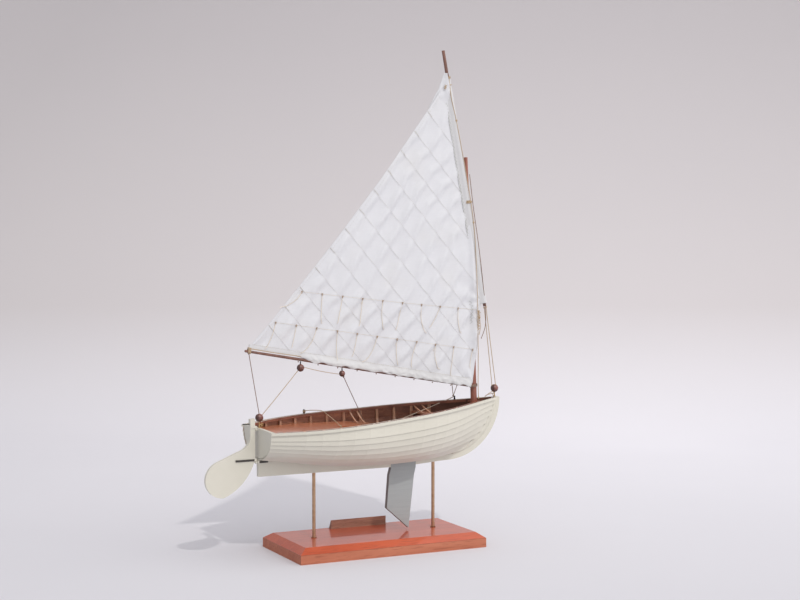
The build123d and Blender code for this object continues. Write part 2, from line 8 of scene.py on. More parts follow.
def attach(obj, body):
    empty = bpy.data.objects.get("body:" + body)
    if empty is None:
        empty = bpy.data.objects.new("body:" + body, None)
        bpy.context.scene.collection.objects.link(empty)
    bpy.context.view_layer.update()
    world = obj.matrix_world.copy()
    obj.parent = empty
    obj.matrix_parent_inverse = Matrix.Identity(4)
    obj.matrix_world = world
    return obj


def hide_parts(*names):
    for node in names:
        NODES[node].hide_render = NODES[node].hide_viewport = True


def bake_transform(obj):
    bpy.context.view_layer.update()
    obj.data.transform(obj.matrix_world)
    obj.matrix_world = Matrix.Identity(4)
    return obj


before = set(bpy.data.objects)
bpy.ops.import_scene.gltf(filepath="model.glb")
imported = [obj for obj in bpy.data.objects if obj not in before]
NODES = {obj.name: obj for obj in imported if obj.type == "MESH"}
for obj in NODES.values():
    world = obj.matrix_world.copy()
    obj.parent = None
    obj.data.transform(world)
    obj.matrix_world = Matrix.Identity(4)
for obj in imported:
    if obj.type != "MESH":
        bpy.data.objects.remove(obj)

bl_info = {
    "name": "Model Sailing Dinghy Dressing",
    "version": (1, 0, 0),
    "blender": (4, 5, 0),
    "location": "View3D > Sidebar > Dinghy",
    "description": "Paints, varnishes and rigs a small display model of a sailing dinghy",
    "category": "Object",
}

MM = 0.001
BOAT, RUDDER, RIG = "boat_and_plinth", "rudder", "rig"


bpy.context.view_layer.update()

# The rig in millimetres, x forward and z up, in its own plane
RIG_SIDE = -6.6
YARD_HEEL, YARD_PEAK = Vector((152.7, 298.3)), Vector((92.4, 620.2))
BOOM_AFT, BOOM_FORE = Vector((-173.5, 252.3)), Vector((135.5, 196.2))
MAST_DECK, MAST_HEAD = Vector((140.6, 180.4)), Vector((128.3, 487.7))
TACK, THROAT = Vector((135.0, 199.6)), Vector((147.6, 306.2))
PEAK, CLEW = Vector((96.4, 582.0)), Vector((-170.0, 255.0))
LEECH_HOLLOW = 6.4
PIN = Vector((-62.5, 77.4, 165.2))
SEAM_RUN = Vector((0.66, -0.75)).normalized()
SEAM_ACROSS = Vector((0.75, 0.66))
FOLD_ACROSS = Vector((0.82, -0.572))
SEAM_FIRST, SEAM_STEP, SEAM_COUNT = 410.7, 30.2, 12
YARD_ALONG = (YARD_PEAK - YARD_HEEL).normalized()
YARD_AFT = Vector((-YARD_ALONG.y, YARD_ALONG.x))
BOOM_ALONG = (BOOM_FORE - BOOM_AFT).normalized()
BOOM_UP = Vector((-BOOM_ALONG.y, BOOM_ALONG.x))
LEECH_ALONG = (PEAK - CLEW).normalized()
LEECH_INWARD = Vector((LEECH_ALONG.y, -LEECH_ALONG.x))
LUFF_ALONG = (THROAT - TACK).normalized()
LUFF_AFT = Vector((-LUFF_ALONG.y, LUFF_ALONG.x))
GATHERS = ((THROAT, 34, 1.5), (TACK, 30, 1.4), (CLEW, 26, 0.9), (PEAK, 22, 0.6))
PARREL_Z, COLLAR_Z = 431.0, 196.8
STEM_CENTRE = Vector((100.0, 180.0))
SIDES = (("starboard", -1), ("port", 1))

# Marks for the paint, in metres; the sheer has a height amidships, a slope and a curve
SHEER_MID, SHEER_SLOPE, SHEER_CURVE = 0.1668, 0.0705, 0.048
PLINTH_EDGE = 0.0114
RUDDER_AXIS = -0.1576

# The camera that was fitted to the photograph, in metres and degrees, and the way to the sun
CAMERA_PLACE = (-0.8641, -1.8542, 0.4137)
CAMERA_YAW, CAMERA_PITCH = 25.882, -2.928
SENSOR_WIDTH = 36.0
SUN_TOWARD = (0.0, -1.0, 0.96)


# Shader helpers


def feed(tree, socket, value):
    """Links another node's output to a socket, or sets its plain value."""
    if isinstance(value, bpy.types.NodeSocket):
        tree.links.new(value, socket)
    else:
        socket.default_value = value


def shade(tree, kind, inputs=None, **settings):
    """Adds one node; an input is a value or another node's output."""
    made = tree.nodes.new(kind)
    for name, value in settings.items():
        setattr(made, name, value)
    for label, value in (inputs or {}).items():
        feed(tree, made.inputs[label], value)
    return made


def maths(tree, operation, first, second=0.0):
    return shade(tree, "ShaderNodeMath", {0: first, 1: second}, operation=operation).outputs[0]


def times(tree, first, second):
    return maths(tree, "MULTIPLY", first, second)


def blended(tree, factor, first, second, mode="MIX"):
    """Two colours mixed; each is a plain colour or another node's output."""
    made = shade(tree, "ShaderNodeMix", data_type="RGBA", blend_type=mode)
    feed(tree, made.inputs[0], factor)
    for index, colour in ((6, first), (7, second)):
        linked = isinstance(colour, bpy.types.NodeSocket)
        feed(tree, made.inputs[index], colour if linked else (*colour, 1.0))
    return made.outputs[2]


def spread(tree, value, low, high, to_low=0.0, to_high=1.0):
    made = shade(tree, "ShaderNodeMapRange", {"Value": value, "From Min": low, "From Max": high,
                                              "To Min": to_low, "To Max": to_high})
    return made.outputs["Result"]


def noise_over(tree, place, scale, detail, **more):
    made = shade(tree, "ShaderNodeTexNoise", {"Vector": place, "Scale": scale, "Detail": detail, **more})
    return made.outputs["Fac"]


def scaled(tree, vector, factors):
    return shade(tree, "ShaderNodeVectorMath", {0: vector, 1: factors}, operation="MULTIPLY").outputs[0]


def split(tree, vector):
    """The X, Y and Z outputs of a vector."""
    return shade(tree, "ShaderNodeSeparateXYZ", {0: vector}).outputs


def facing(tree):
    """The X, Y and Z outputs of the direction that the surface faces."""
    return split(tree, shade(tree, "ShaderNodeNewGeometry").outputs["Normal"])


def openness(tree, distance, samples):
    """One in the open and less in a corner."""
    return shade(tree, "ShaderNodeAmbientOcclusion", {"Distance": distance}, samples=samples).outputs["AO"]


def dimmed(colour, share):
    return tuple(c * share for c in colour)


def effect(name, inputs, outputs):
    """An empty shader group; an input without a value is a vector."""
    tree = bpy.data.node_groups.new(name, "ShaderNodeTree")
    for label, value in inputs.items():
        kind = "NodeSocketVector" if value is None else "NodeSocketFloat"
        socket = tree.interface.new_socket(label, in_out="INPUT", socket_type=kind)
        if value is not None:
            socket.default_value = value
    for label in outputs:
        tree.interface.new_socket(label, in_out="OUTPUT", socket_type="NodeSocketFloat")
    return tree, tree.nodes.new("NodeGroupInput").outputs, tree.nodes.new("NodeGroupOutput").inputs


def grain_effect():
    """Wood grain: broad figure and short dark pores along X of the vector it is given."""
    tree, given, result = effect("Wood grain", {"Vector": None, "Scale": 120.0, "Stretch": 0.08},
                                 ["Figure", "Pores", "Height"])
    stretch = shade(tree, "ShaderNodeCombineXYZ", {"X": given["Stretch"], "Y": 1.0, "Z": 1.0}).outputs[0]
    along = scaled(tree, given["Vector"], stretch)
    broad = noise_over(tree, along, given["Scale"], 4.0, Roughness=0.6, Distortion=0.8)
    fine = noise_over(tree, along, times(tree, given["Scale"], 11.0), 2.0)
    figure = spread(tree, broad, 0.3, 0.7)
    pores = spread(tree, fine, 0.56, 0.7)
    feed(tree, result["Figure"], figure)
    feed(tree, result["Pores"], pores)
    feed(tree, result["Height"], maths(tree, "SUBTRACT", times(tree, figure, 0.3), pores))
    return tree


def wear_effect():
    """Edge wear: bright where an edge is sharp, broken up by noise."""
    tree, given, result = effect("Edge wear", {"Radius": 0.0006, "Break": 300.0}, ["Worn"])
    rounded = shade(tree, "ShaderNodeBevel", {"Radius": given["Radius"]}, samples=4).outputs[0]
    true = shade(tree, "ShaderNodeNewGeometry").outputs["Normal"]
    cosine = shade(tree, "ShaderNodeVectorMath", {0: rounded, 1: true}, operation="DOT_PRODUCT")
    place = shade(tree, "ShaderNodeTexCoord").outputs["Object"]
    patch = noise_over(tree, place, given["Break"], 3.0)
    edge = spread(tree, cosine.outputs["Value"], 0.995, 0.86)
    feed(tree, result["Worn"], times(tree, edge, spread(tree, patch, 0.48, 0.62)))
    return tree


def paint_effect():
    """Brushed paint: long soft brush marks and mottling."""
    tree, given, result = effect("Brushed paint", {"Vector": None, "Scale": 500.0}, ["Tone", "Marks"])
    squeezed = scaled(tree, given["Vector"], (0.06, 1.0, 1.0))
    feed(tree, result["Marks"], noise_over(tree, squeezed, given["Scale"], 3.0))
    mottle = noise_over(tree, given["Vector"], 22.0, 4.0)
    feed(tree, result["Tone"], spread(tree, mottle, 0.3, 0.7))
    return tree


def weave_effect():
    """Plain weave in the X and Z directions of the vector it is given."""
    tree, given, result = effect("Plain weave", {"Vector": None, "Pitch": 0.0006}, ["Threads", "Slubs"])
    spot = split(tree, given["Vector"])
    turn = maths(tree, "DIVIDE", 2 * math.pi, given["Pitch"])
    warp, weft = (maths(tree, "SINE", times(tree, spot[axis], turn)) for axis in ("X", "Z"))
    loose = scaled(tree, given["Vector"], (60.0, 200.0, 1400.0))
    feed(tree, result["Threads"], spread(tree, times(tree, warp, weft), -1.0, 1.0))
    feed(tree, result["Slubs"], spread(tree, noise_over(tree, loose, 1.0, 2.0), 0.35, 0.7))
    return tree


def lay_effect():
    """Twisted strands of a thread, from the attribute that the thread tree stores."""
    tree, given, result = effect("Thread lay", {"Strands": 3.0, "Pitch": 0.0022}, ["Strand"])
    spot = split(tree, shade(tree, "ShaderNodeAttribute", attribute_name="lay").outputs["Vector"])
    angle = maths(tree, "ARCTAN2", spot["Y"], spot["X"])
    twist = maths(tree, "DIVIDE", times(tree, spot["Z"], 2 * math.pi), given["Pitch"])
    phase = maths(tree, "ADD", times(tree, angle, given["Strands"]), twist)
    feed(tree, result["Strand"], spread(tree, maths(tree, "SINE", phase), -1.0, 1.0))
    return tree


EFFECTS = {}


def use(tree, name, inputs=None):
    """Adds one of the effects above, which is made once, and gives its outputs."""
    makers = {"grain": grain_effect, "wear": wear_effect, "paint": paint_effect, "weave": weave_effect,
              "lay": lay_effect}
    if name not in EFFECTS:
        EFFECTS[name] = makers[name]()
    return shade(tree, "ShaderNodeGroup", inputs, node_tree=EFFECTS[name]).outputs


def new_finish(name, roughness=0.5, settings=None):
    """A material with one Principled shader, and its inputs; settings are its own plain sockets."""
    material = bpy.data.materials.new(name)
    material.use_nodes = True
    tree = material.node_tree
    tree.nodes.clear()
    surface = shade(tree, "ShaderNodeBsdfPrincipled", {"Roughness": roughness, **(settings or {})})
    shade(tree, "ShaderNodeOutputMaterial", {"Surface": surface.outputs[0]})
    return material, tree, surface.inputs


def place_of(tree, turn=(0.0, 0.0, 0.0)):
    """Object coordinates, turned so that the grain runs along the piece."""
    coordinates = shade(tree, "ShaderNodeTexCoord").outputs["Object"]
    return shade(tree, "ShaderNodeMapping", {"Vector": coordinates, "Rotation": turn}).outputs[0]


def raise_surface(tree, surface, height, distance, strength):
    bump = shade(tree, "ShaderNodeBump", {"Height": height, "Distance": distance, "Strength": strength})
    feed(tree, surface["Normal"], bump.outputs[0])


# Finishes


def varnished_wood(name, pale, dark, turn=(0, 0, 0), scale=120.0, gloss=0.35, coat=0.3):
    """Varnished wood with figure, pores and rubbed edges."""
    material, tree, surface = new_finish(name, gloss, {"Coat Weight": coat, "Coat Roughness": 0.12})
    grain = use(tree, "grain", {"Vector": place_of(tree, turn), "Scale": scale})
    wear = use(tree, "wear", {"Radius": 0.0005, "Break": 260.0})
    tint = blended(tree, grain["Figure"], dark, pale)
    tint = blended(tree, times(tree, grain["Pores"], 0.55), tint, dimmed(dark, 0.45))
    feed(tree, surface["Base Color"], blended(tree, times(tree, wear["Worn"], 0.6), tint, pale))
    feed(tree, surface["Roughness"], spread(tree, grain["Pores"], 0.0, 1.0, gloss, gloss + 0.15))
    raise_surface(tree, surface, grain["Height"], 0.00006, 0.6)
    return material


def abaft_stem(tree, place):
    """One over the hull and nought by the stem, where the paint fills the joint; it keeps the painted corner
    shade off the joint.
    """
    centre = (STEM_CENTRE.x * MM, 0.0, STEM_CENTRE.y * MM)
    reach = shade(tree, "ShaderNodeVectorMath", {0: scaled(tree, place, (1.0, 0.0, 1.0)), 1: centre},
                  operation="DISTANCE")
    return spread(tree, reach.outputs["Value"], 0.0675, 0.0635)


def above_sheer(tree, place):
    """One on the upper faces along the sheer, nought below."""
    spot = split(tree, place)
    rise = maths(tree, "ADD", times(tree, spot["X"], SHEER_SLOPE), SHEER_MID)
    rise = maths(tree, "ADD", rise, times(tree, maths(tree, "POWER", spot["X"], 2.0), SHEER_CURVE))
    up = spread(tree, facing(tree)["Z"], 0.6, 0.7)
    return times(tree, up, spread(tree, maths(tree, "SUBTRACT", spot["Z"], rise), -0.0016, -0.0010))


def brushed_paint(name, colour, shadow, under):
    """Paint over wood: brush marks, faint mottling, painted corner shade by the laps and rubbed edges."""
    gloss = 0.42
    material, tree, surface = new_finish(name, gloss, {"Coat Weight": 0.12, "Coat Roughness": 0.3})
    place = place_of(tree)
    paint = use(tree, "paint", {"Vector": place})
    wear = use(tree, "wear", {"Radius": 0.0004, "Break": 420.0})
    tint = blended(tree, times(tree, paint["Tone"], 0.5), colour, shadow)
    tint = blended(tree, times(tree, wear["Worn"], 0.35), tint, under)
    # Painted shade: the paint darkens in corners and recesses, except by the stem
    painted_corner_shade = times(tree, spread(tree, openness(tree, 0.004, 4), 0.75, 0.2, 0.0, 0.4), abaft_stem(tree, place))
    feed(tree, surface["Base Color"], blended(tree, painted_corner_shade, tint, dimmed(under, 0.55)))
    feed(tree, surface["Roughness"], spread(tree, paint["Marks"], 0.3, 0.7, gloss - 0.06, gloss + 0.1))
    raise_surface(tree, surface, paint["Marks"], 0.00004, 0.5)
    return material


def two_sided_plank(hull):
    """Cream paint outside and varnish inside, told apart by which way the surface faces."""
    material, tree, surface = new_finish("Planks painted outside", 0.4, {"Coat Weight": 0.15,
                                                                       "Coat Roughness": 0.25})
    place = place_of(tree)
    paint = use(tree, "paint", {"Vector": place})
    wear = use(tree, "wear", {"Radius": 0.0004, "Break": 420.0})
    outside = blended(tree, times(tree, paint["Tone"], 0.45), hull, (0.595, 0.57, 0.49))
    outside = blended(tree, times(tree, wear["Worn"], 0.3), outside, (0.50, 0.42, 0.31))
    # Painted shade: soft grey darkening in the corners under the laps, except by the stem
    painted_corner_shade = times(tree, spread(tree, openness(tree, 0.006, 6), 0.9, 0.3, 0.0, 0.6), abaft_stem(tree, place))
    outside = blended(tree, painted_corner_shade, outside, (0.36, 0.35, 0.34))
    grain = use(tree, "grain", {"Vector": place, "Scale": 150.0})
    inside = blended(tree, grain["Figure"], (0.24, 0.085, 0.05), (0.44, 0.18, 0.10))
    inside = blended(tree, times(tree, grain["Pores"], 0.5), inside, (0.09, 0.025, 0.014))
    spot = split(tree, shade(tree, "ShaderNodeTexCoord").outputs["Object"])
    towards = facing(tree)
    # Painted shade: the inside darkens towards the bow, where the sail shades it
    inside = blended(tree, spread(tree, spot["X"], -0.02, 0.12, 0.0, 0.72), inside, (0.06, 0.025, 0.018))
    outward = times(tree, maths(tree, "SIGN", spot["Y"]), towards["Y"])
    outward = maths(tree, "SUBTRACT", outward, times(tree, towards["Z"], 0.35))
    endwise = times(tree, maths(tree, "SIGN", spot["X"]), towards["X"])
    outward = maths(tree, "MAXIMUM", outward, maths(tree, "SUBTRACT", endwise, 0.6))
    is_outside = maths(tree, "MAXIMUM", spread(tree, outward, -0.02, 0.02), above_sheer(tree, place))
    feed(tree, surface["Base Color"], blended(tree, is_outside, inside, outside))
    feed(tree, surface["Roughness"], spread(tree, paint["Marks"], 0.3, 0.7, 0.34, 0.48))
    raise_surface(tree, surface, paint["Marks"], 0.00004, 0.5)
    return material


def plinth_finish():
    """Glossy varnish on the plinth's top and bevel, duller and paler on its upright sides."""
    material, tree, surface = new_finish("Varnished plinth", 0.2, {"Coat Roughness": 0.06,
                                                                 "Specular IOR Level": 0.2})
    place = place_of(tree)
    grain = use(tree, "grain", {"Vector": place, "Scale": 60.0})
    wear = use(tree, "wear", {"Radius": 0.0007, "Break": 180.0})
    top = blended(tree, grain["Figure"], (0.43, 0.075, 0.032), (0.54, 0.105, 0.045))
    side = blended(tree, grain["Figure"], (0.40, 0.125, 0.07), (0.50, 0.18, 0.105))
    height = split(tree, place)["Z"]
    below = spread(tree, height, PLINTH_EDGE + 0.0002, PLINTH_EDGE - 0.0004)
    tint = blended(tree, below, top, side)
    tint = blended(tree, times(tree, grain["Pores"], 0.45), tint, (0.20, 0.05, 0.03))
    from_edge = maths(tree, "ABSOLUTE", maths(tree, "SUBTRACT", height, PLINTH_EDGE))
    tint = blended(tree, spread(tree, from_edge, 0.0005, 0.0, 0.0, 0.55), tint, (0.16, 0.05, 0.03))
    tint = blended(tree, times(tree, wear["Worn"], 0.55), tint, (0.62, 0.30, 0.18))
    feed(tree, surface["Base Color"], tint)
    feed(tree, surface["Roughness"], spread(tree, below, 0.0, 1.0, 0.4, 0.6))
    feed(tree, surface["Coat Weight"], spread(tree, below, 0.0, 1.0, 0.62, 0.1))
    raise_surface(tree, surface, grain["Height"], 0.00006, 0.6)
    return material


def inwale_finish(hull):
    """Varnished inner rail with its top painted like the hull's rail over the stern sheets."""
    material, tree, surface = new_finish("Inner rails", 0.38, {"Coat Weight": 0.2})
    place = place_of(tree)
    grain = use(tree, "grain", {"Vector": place, "Scale": 150.0})
    wood = blended(tree, grain["Figure"], (0.16, 0.055, 0.035), (0.32, 0.12, 0.07))
    painted = times(tree, above_sheer(tree, place), spread(tree, split(tree, place)["X"], 0.03, 0.0))
    feed(tree, surface["Base Color"], blended(tree, painted, wood, hull))
    raise_surface(tree, surface, grain["Height"], 0.00006, 0.5)
    return material


def bead_finish():
    """Dark turned wood, with painted shade that makes it nearly black in its corners, underneath and on its
    after side.
    """
    material, tree, surface = new_finish("Turned beads", 0.34, {"Coat Weight": 0.25, "Coat Roughness": 0.2})
    grain = use(tree, "grain", {"Vector": place_of(tree), "Scale": 210.0, "Stretch": 0.5})
    tint = blended(tree, grain["Figure"], (0.09, 0.03, 0.025), (0.27, 0.09, 0.065))
    towards = facing(tree)
    # Painted shade: darker on the faces that turn down and aft
    painted_side_shade = maths(tree, "MAXIMUM", spread(tree, towards["Z"], 0.1, -0.6, 0.0, 0.8),
                        spread(tree, towards["X"], 0.0, -0.7, 0.0, 0.8))
    tint = blended(tree, painted_side_shade, tint, (0.045, 0.018, 0.015))
    # Painted shade in the corners
    corner = spread(tree, openness(tree, 0.003, 6), 0.95, 0.55, 0.0, 0.8)
    feed(tree, surface["Base Color"], blended(tree, corner, tint, (0.03, 0.013, 0.011)))
    raise_surface(tree, surface, grain["Height"], 0.0001, 0.7)
    return material


def board_finish(colour):
    """Grey paint brushed fore and aft, with the bare wood showing on the edges."""
    material, tree, surface = new_finish("Grey board paint", 0.5, {"Coat Weight": 0.08,
                                                                 "Coat Roughness": 0.3})
    paint = use(tree, "paint", {"Vector": place_of(tree)})
    streak = spread(tree, paint["Marks"], 0.3, 0.7)
    tint = blended(tree, times(tree, streak, 0.6), colour, dimmed(colour, 0.84))
    tint = blended(tree, times(tree, paint["Tone"], 0.4), tint, dimmed(colour, 0.85))
    flat = maths(tree, "ABSOLUTE", facing(tree)["Y"])
    tint = blended(tree, spread(tree, flat, 0.6, 0.4, 0.0, 0.75), tint, (0.11, 0.07, 0.06))
    feed(tree, surface["Base Color"], tint)
    raise_surface(tree, surface, paint["Marks"], 0.00005, 0.5)
    return material


def strap_finish(hull):
    """Blackened straps at the heel; the upper ones are painted over with the hull."""
    material, tree, surface = new_finish("Rudder straps", 0.45)
    place = place_of(tree)
    spot = split(tree, place)
    aside = maths(tree, "ABSOLUTE", maths(tree, "SUBTRACT", spot["X"], RUDDER_AXIS))
    painted = maths(tree, "MAXIMUM", spread(tree, spot["Z"], 0.139, 0.141),
                    spread(tree, aside, 0.0034, 0.0030))
    chip = spread(tree, noise_over(tree, place, 500.0, 3.0), 0.4, 0.7)
    black = blended(tree, chip, (0.03, 0.028, 0.028), (0.07, 0.05, 0.04))
    feed(tree, surface["Base Color"], blended(tree, painted, black, hull))
    return material


def metal(name, colour, tarnish, roughness):
    """Metal with fine scratches and dull patches."""
    material, tree, surface = new_finish(name, roughness, {"Metallic": 1.0})
    place = place_of(tree)
    dull = spread(tree, noise_over(tree, place, 160.0, 5.0), 0.42, 0.68)
    scratch = noise_over(tree, scaled(tree, place, (1.0, 1.0, 14.0)), 700.0, 2.0)
    feed(tree, surface["Base Color"], blended(tree, dull, colour, tarnish))
    feed(tree, surface["Roughness"], spread(tree, dull, 0.0, 1.0, roughness, roughness + 0.25))
    raise_surface(tree, surface, scratch, 0.00003, 0.5)
    return material


def cloth(name, colour, shadow):
    """Cotton sailcloth: weave, slubs and faint creasing."""
    material, tree, surface = new_finish(name, 0.88, {"Sheen Weight": 0.25, "Sheen Roughness": 0.5,
                                                      "Specular IOR Level": 0.25})
    place = place_of(tree)
    weave = use(tree, "weave", {"Vector": place})
    stained = tuple(c * share for c, share in zip(colour, (0.93, 0.91, 0.86)))
    stain = spread(tree, noise_over(tree, place, 26.0, 5.0), 0.5, 0.75, 0.0, 0.3)
    tint = blended(tree, times(tree, weave["Threads"], 0.3), colour, shadow)
    tint = blended(tree, times(tree, weave["Slubs"], 0.25), tint, shadow)
    feed(tree, surface["Base Color"], blended(tree, stain, tint, stained))
    crease = noise_over(tree, place, 210.0, 4.0, Roughness=0.6)
    height = maths(tree, "ADD", times(tree, weave["Threads"], 0.25), times(tree, crease, 1.2))
    raise_surface(tree, surface, height, 0.00022, 0.6)
    return material


def twisted_thread(name, colour, shadow, strands=3.0, pitch=0.0022):
    """Laid cotton line: strands, darker between them, with a little fuzz."""
    material, tree, surface = new_finish(name, 0.85, {"Sheen Weight": 0.3, "Sheen Roughness": 0.4})
    strand = use(tree, "lay", {"Strands": strands, "Pitch": pitch})["Strand"]
    fuzz = spread(tree, noise_over(tree, place_of(tree), 900.0, 3.0), 0.45, 0.7, 0.0, 0.35)
    tint = blended(tree, strand, shadow, colour)
    feed(tree, surface["Base Color"], blended(tree, fuzz, tint, dimmed(colour, 0.8)))
    raise_surface(tree, surface, strand, 0.00012, 0.9)
    return material


FINISH = {}


def finishes():
    """Makes every finish of the model, once."""
    if FINISH:
        return
    f = bpy.context.scene.dinghy_finish
    upright = (0.0, math.radians(90), 0.0)
    across = (0.0, 0.0, math.radians(90))
    hull = tuple(f.hull_paint)
    FINISH.update({
        "hull": brushed_paint("Cream hull paint", hull, (0.58, 0.56, 0.475), (0.46, 0.41, 0.32)),
        "plank": two_sided_plank(hull),
        "grey": board_finish(tuple(f.board_paint)),
        "plinth": plinth_finish(),
        "inside": varnished_wood("Mahogany inside", (0.38, 0.15, 0.085), (0.22, 0.075, 0.045), scale=150.0),
        "inwale": inwale_finish(hull),
        "bench": varnished_wood("Mahogany benches", (0.60, 0.215, 0.10), (0.44, 0.135, 0.06), scale=110.0,
                                gloss=0.3, coat=0.5),
        "bent": varnished_wood("Steamed ribs", (0.58, 0.31, 0.19), (0.42, 0.20, 0.12), upright, 200.0),
        "cross": varnished_wood("Cross grain beams", (0.46, 0.20, 0.11), (0.30, 0.105, 0.055), across, 140.0),
        "plate": varnished_wood("Plate wood", (0.44, 0.215, 0.145), (0.24, 0.105, 0.07), scale=170.0,
                                gloss=0.5, coat=0.05),
        "mast": varnished_wood("Mast wood", (0.36, 0.13, 0.085), (0.23, 0.07, 0.045), upright, 130.0),
        "yard": varnished_wood("Yard and boom wood", (0.24, 0.11, 0.078), (0.12, 0.05, 0.035), upright,
                               160.0),
        "bead": bead_finish(),
        "rod": metal("Aged brass rod", (0.50, 0.325, 0.21), (0.44, 0.275, 0.17), 0.34),
        "collar": metal("Bronzed collar", (0.46, 0.23, 0.14), (0.30, 0.14, 0.09), 0.5),
        "strap": strap_finish(hull),
        "brass": metal("Brass fittings", (0.66, 0.48, 0.24), (0.42, 0.28, 0.13), 0.3),
        "iron": metal("Blackened iron", (0.05, 0.05, 0.055), (0.02, 0.02, 0.022), 0.45),
        "sail": cloth("Sailcloth", tuple(f.sailcloth), (0.60, 0.60, 0.635)),
        # The sleeve cloth is the sailcloth painted a little darker and greyer, as painted shade on the
        # doubled cloth
        "sleeve": cloth("Sleeve cloth", (0.64, 0.635, 0.645), (0.52, 0.515, 0.52)),
        "line": twisted_thread("Tan line", tuple(f.line), (0.34, 0.24, 0.15)),
        "brown_line": twisted_thread("Brown line", (0.30, 0.18, 0.13), (0.14, 0.08, 0.055)),
        "stitch": twisted_thread("Stitching thread", (0.58, 0.54, 0.47), (0.44, 0.40, 0.34), 2.0, 0.0009),
        "reef_line": twisted_thread("Reef line", (0.88, 0.79, 0.66), (0.70, 0.59, 0.46)),
        "knot_line": twisted_thread("Knotted line", (0.54, 0.42, 0.33), (0.34, 0.25, 0.19)),
        "grey_stitch": twisted_thread("Grey stitching", (0.42, 0.44, 0.38), (0.27, 0.28, 0.24), 2.0, 0.0009),
        "tan_stitch": twisted_thread("Tan stitching", (0.62, 0.56, 0.44), (0.46, 0.40, 0.29), 2.0, 0.0009),
    })


def dress(finish, *names):
    """Gives CAD nodes their finish; only the material slots change."""
    for name in names:
        slots = NODES[name].data.materials
        for index in range(len(slots)):
            slots[index] = FINISH[finish]
        if not len(slots):
            slots.append(FINISH[finish])


# Geometry trees


def growing_tree(name, sizes):
    tree = bpy.data.node_groups.new(name, "GeometryNodeTree")
    tree.interface.new_socket("Geometry", in_out="INPUT", socket_type="NodeSocketGeometry")
    for label, value in sizes.items():
        kind = "NodeSocketInt" if isinstance(value, int) else "NodeSocketFloat"
        tree.interface.new_socket(label, in_out="INPUT", socket_type=kind).default_value = value
    tree.interface.new_socket("Material", in_out="INPUT", socket_type="NodeSocketMaterial")
    tree.interface.new_socket("Geometry", in_out="OUTPUT", socket_type="NodeSocketGeometry")
    return tree, tree.nodes.new("NodeGroupInput")


def close_tree(tree, given, geometry):
    """Ends a tree in Realize Instances, smooth shading and Set Material."""
    real = shade(tree, "GeometryNodeRealizeInstances", {"Geometry": geometry})
    smooth = shade(tree, "GeometryNodeSetShadeSmooth", {"Geometry": real.outputs[0]})
    painted = shade(tree, "GeometryNodeSetMaterial", {"Geometry": smooth.outputs[0],
                                                      "Material": given.outputs["Material"]})
    result = tree.nodes.new("NodeGroupOutput")
    tree.links.new(painted.outputs[0], result.inputs["Geometry"])
    return tree


def captured(tree, geometry, value, label):
    made = tree.nodes.new("GeometryNodeCaptureAttribute")
    made.capture_items.new("FLOAT", label)
    tree.links.new(geometry, made.inputs["Geometry"])
    tree.links.new(value, made.inputs[label])
    return made.outputs["Geometry"], made.outputs[label]


def thread_tree():
    """A round thread along each run of edges, with its lay stored for the strands."""
    tree, given = growing_tree("Thread along a path", {"Radius": 0.0004, "Sides": 8})
    path = shade(tree, "GeometryNodeMeshToCurve", {"Mesh": given.outputs["Geometry"]}).outputs[0]
    along = shade(tree, "GeometryNodeSplineParameter").outputs["Length"]
    path, along = captured(tree, path, along, "Along")
    ring = shade(tree, "GeometryNodeCurvePrimitiveCircle", {"Resolution": given.outputs["Sides"],
                                                            "Radius": given.outputs["Radius"]}).outputs[0]
    round_it = shade(tree, "GeometryNodeSplineParameter").outputs["Factor"]
    ring, round_it = captured(tree, ring, round_it, "Round")
    tube = shade(tree, "GeometryNodeCurveToMesh", {"Curve": path, "Profile Curve": ring,
                                                   "Fill Caps": True}).outputs[0]
    angle = maths(tree, "MULTIPLY", round_it, 2 * math.pi)
    lay = shade(tree, "ShaderNodeCombineXYZ", {"X": maths(tree, "COSINE", angle),
                                               "Y": maths(tree, "SINE", angle), "Z": along}).outputs[0]
    stored = shade(tree, "GeometryNodeStoreNamedAttribute", {"Geometry": tube, "Name": "lay", "Value": lay},
                   data_type="FLOAT_VECTOR", domain="POINT")
    return close_tree(tree, given, stored.outputs[0])


def stitch_tree():
    """Short raised stitches at even steps along each run of edges."""
    tree, given = growing_tree("Stitches along a path", {"Step": 0.003, "Length": 0.0018, "Radius": 0.0002})
    path = shade(tree, "GeometryNodeMeshToCurve", {"Mesh": given.outputs["Geometry"]}).outputs[0]
    points = shade(tree, "GeometryNodeResampleCurve", {"Curve": path, "Length": given.outputs["Step"]},
                   mode="LENGTH").outputs[0]
    bead = shade(tree, "GeometryNodeMeshUVSphere", {"Segments": 6, "Rings": 4, "Radius": 1.0}).outputs[0]
    tangent = shade(tree, "GeometryNodeInputTangent").outputs[0]
    turn = shade(tree, "FunctionNodeAlignRotationToVector", {"Vector": tangent}, axis="Z").outputs[0]
    half = maths(tree, "MULTIPLY", given.outputs["Length"], 0.5)
    size = shade(tree, "ShaderNodeCombineXYZ", {"X": given.outputs["Radius"], "Y": given.outputs["Radius"],
                                                "Z": half}).outputs[0]
    sewn = shade(tree, "GeometryNodeInstanceOnPoints", {"Points": points, "Instance": bead, "Rotation": turn,
                                                        "Scale": size}).outputs[0]
    return close_tree(tree, given, sewn)


TREES = {}


def tree_for(kind):
    if kind not in TREES:
        TREES[kind] = {"thread": thread_tree, "stitch": stitch_tree}[kind]()
    return TREES[kind]


def placed(name, data):
    """A new object in the scene."""
    made = bpy.data.objects.new(name, data)
    bpy.context.scene.collection.objects.link(made)
    return made


def smooth_mesh(name, made, finish):
    """A finished bmesh as a smooth mesh with one material."""
    mesh = bpy.data.meshes.new(name)
    made.to_mesh(mesh)
    made.free()
    mesh.materials.append(finish)
    mesh.polygons.foreach_set("use_smooth", [True] * len(mesh.polygons))
    return mesh


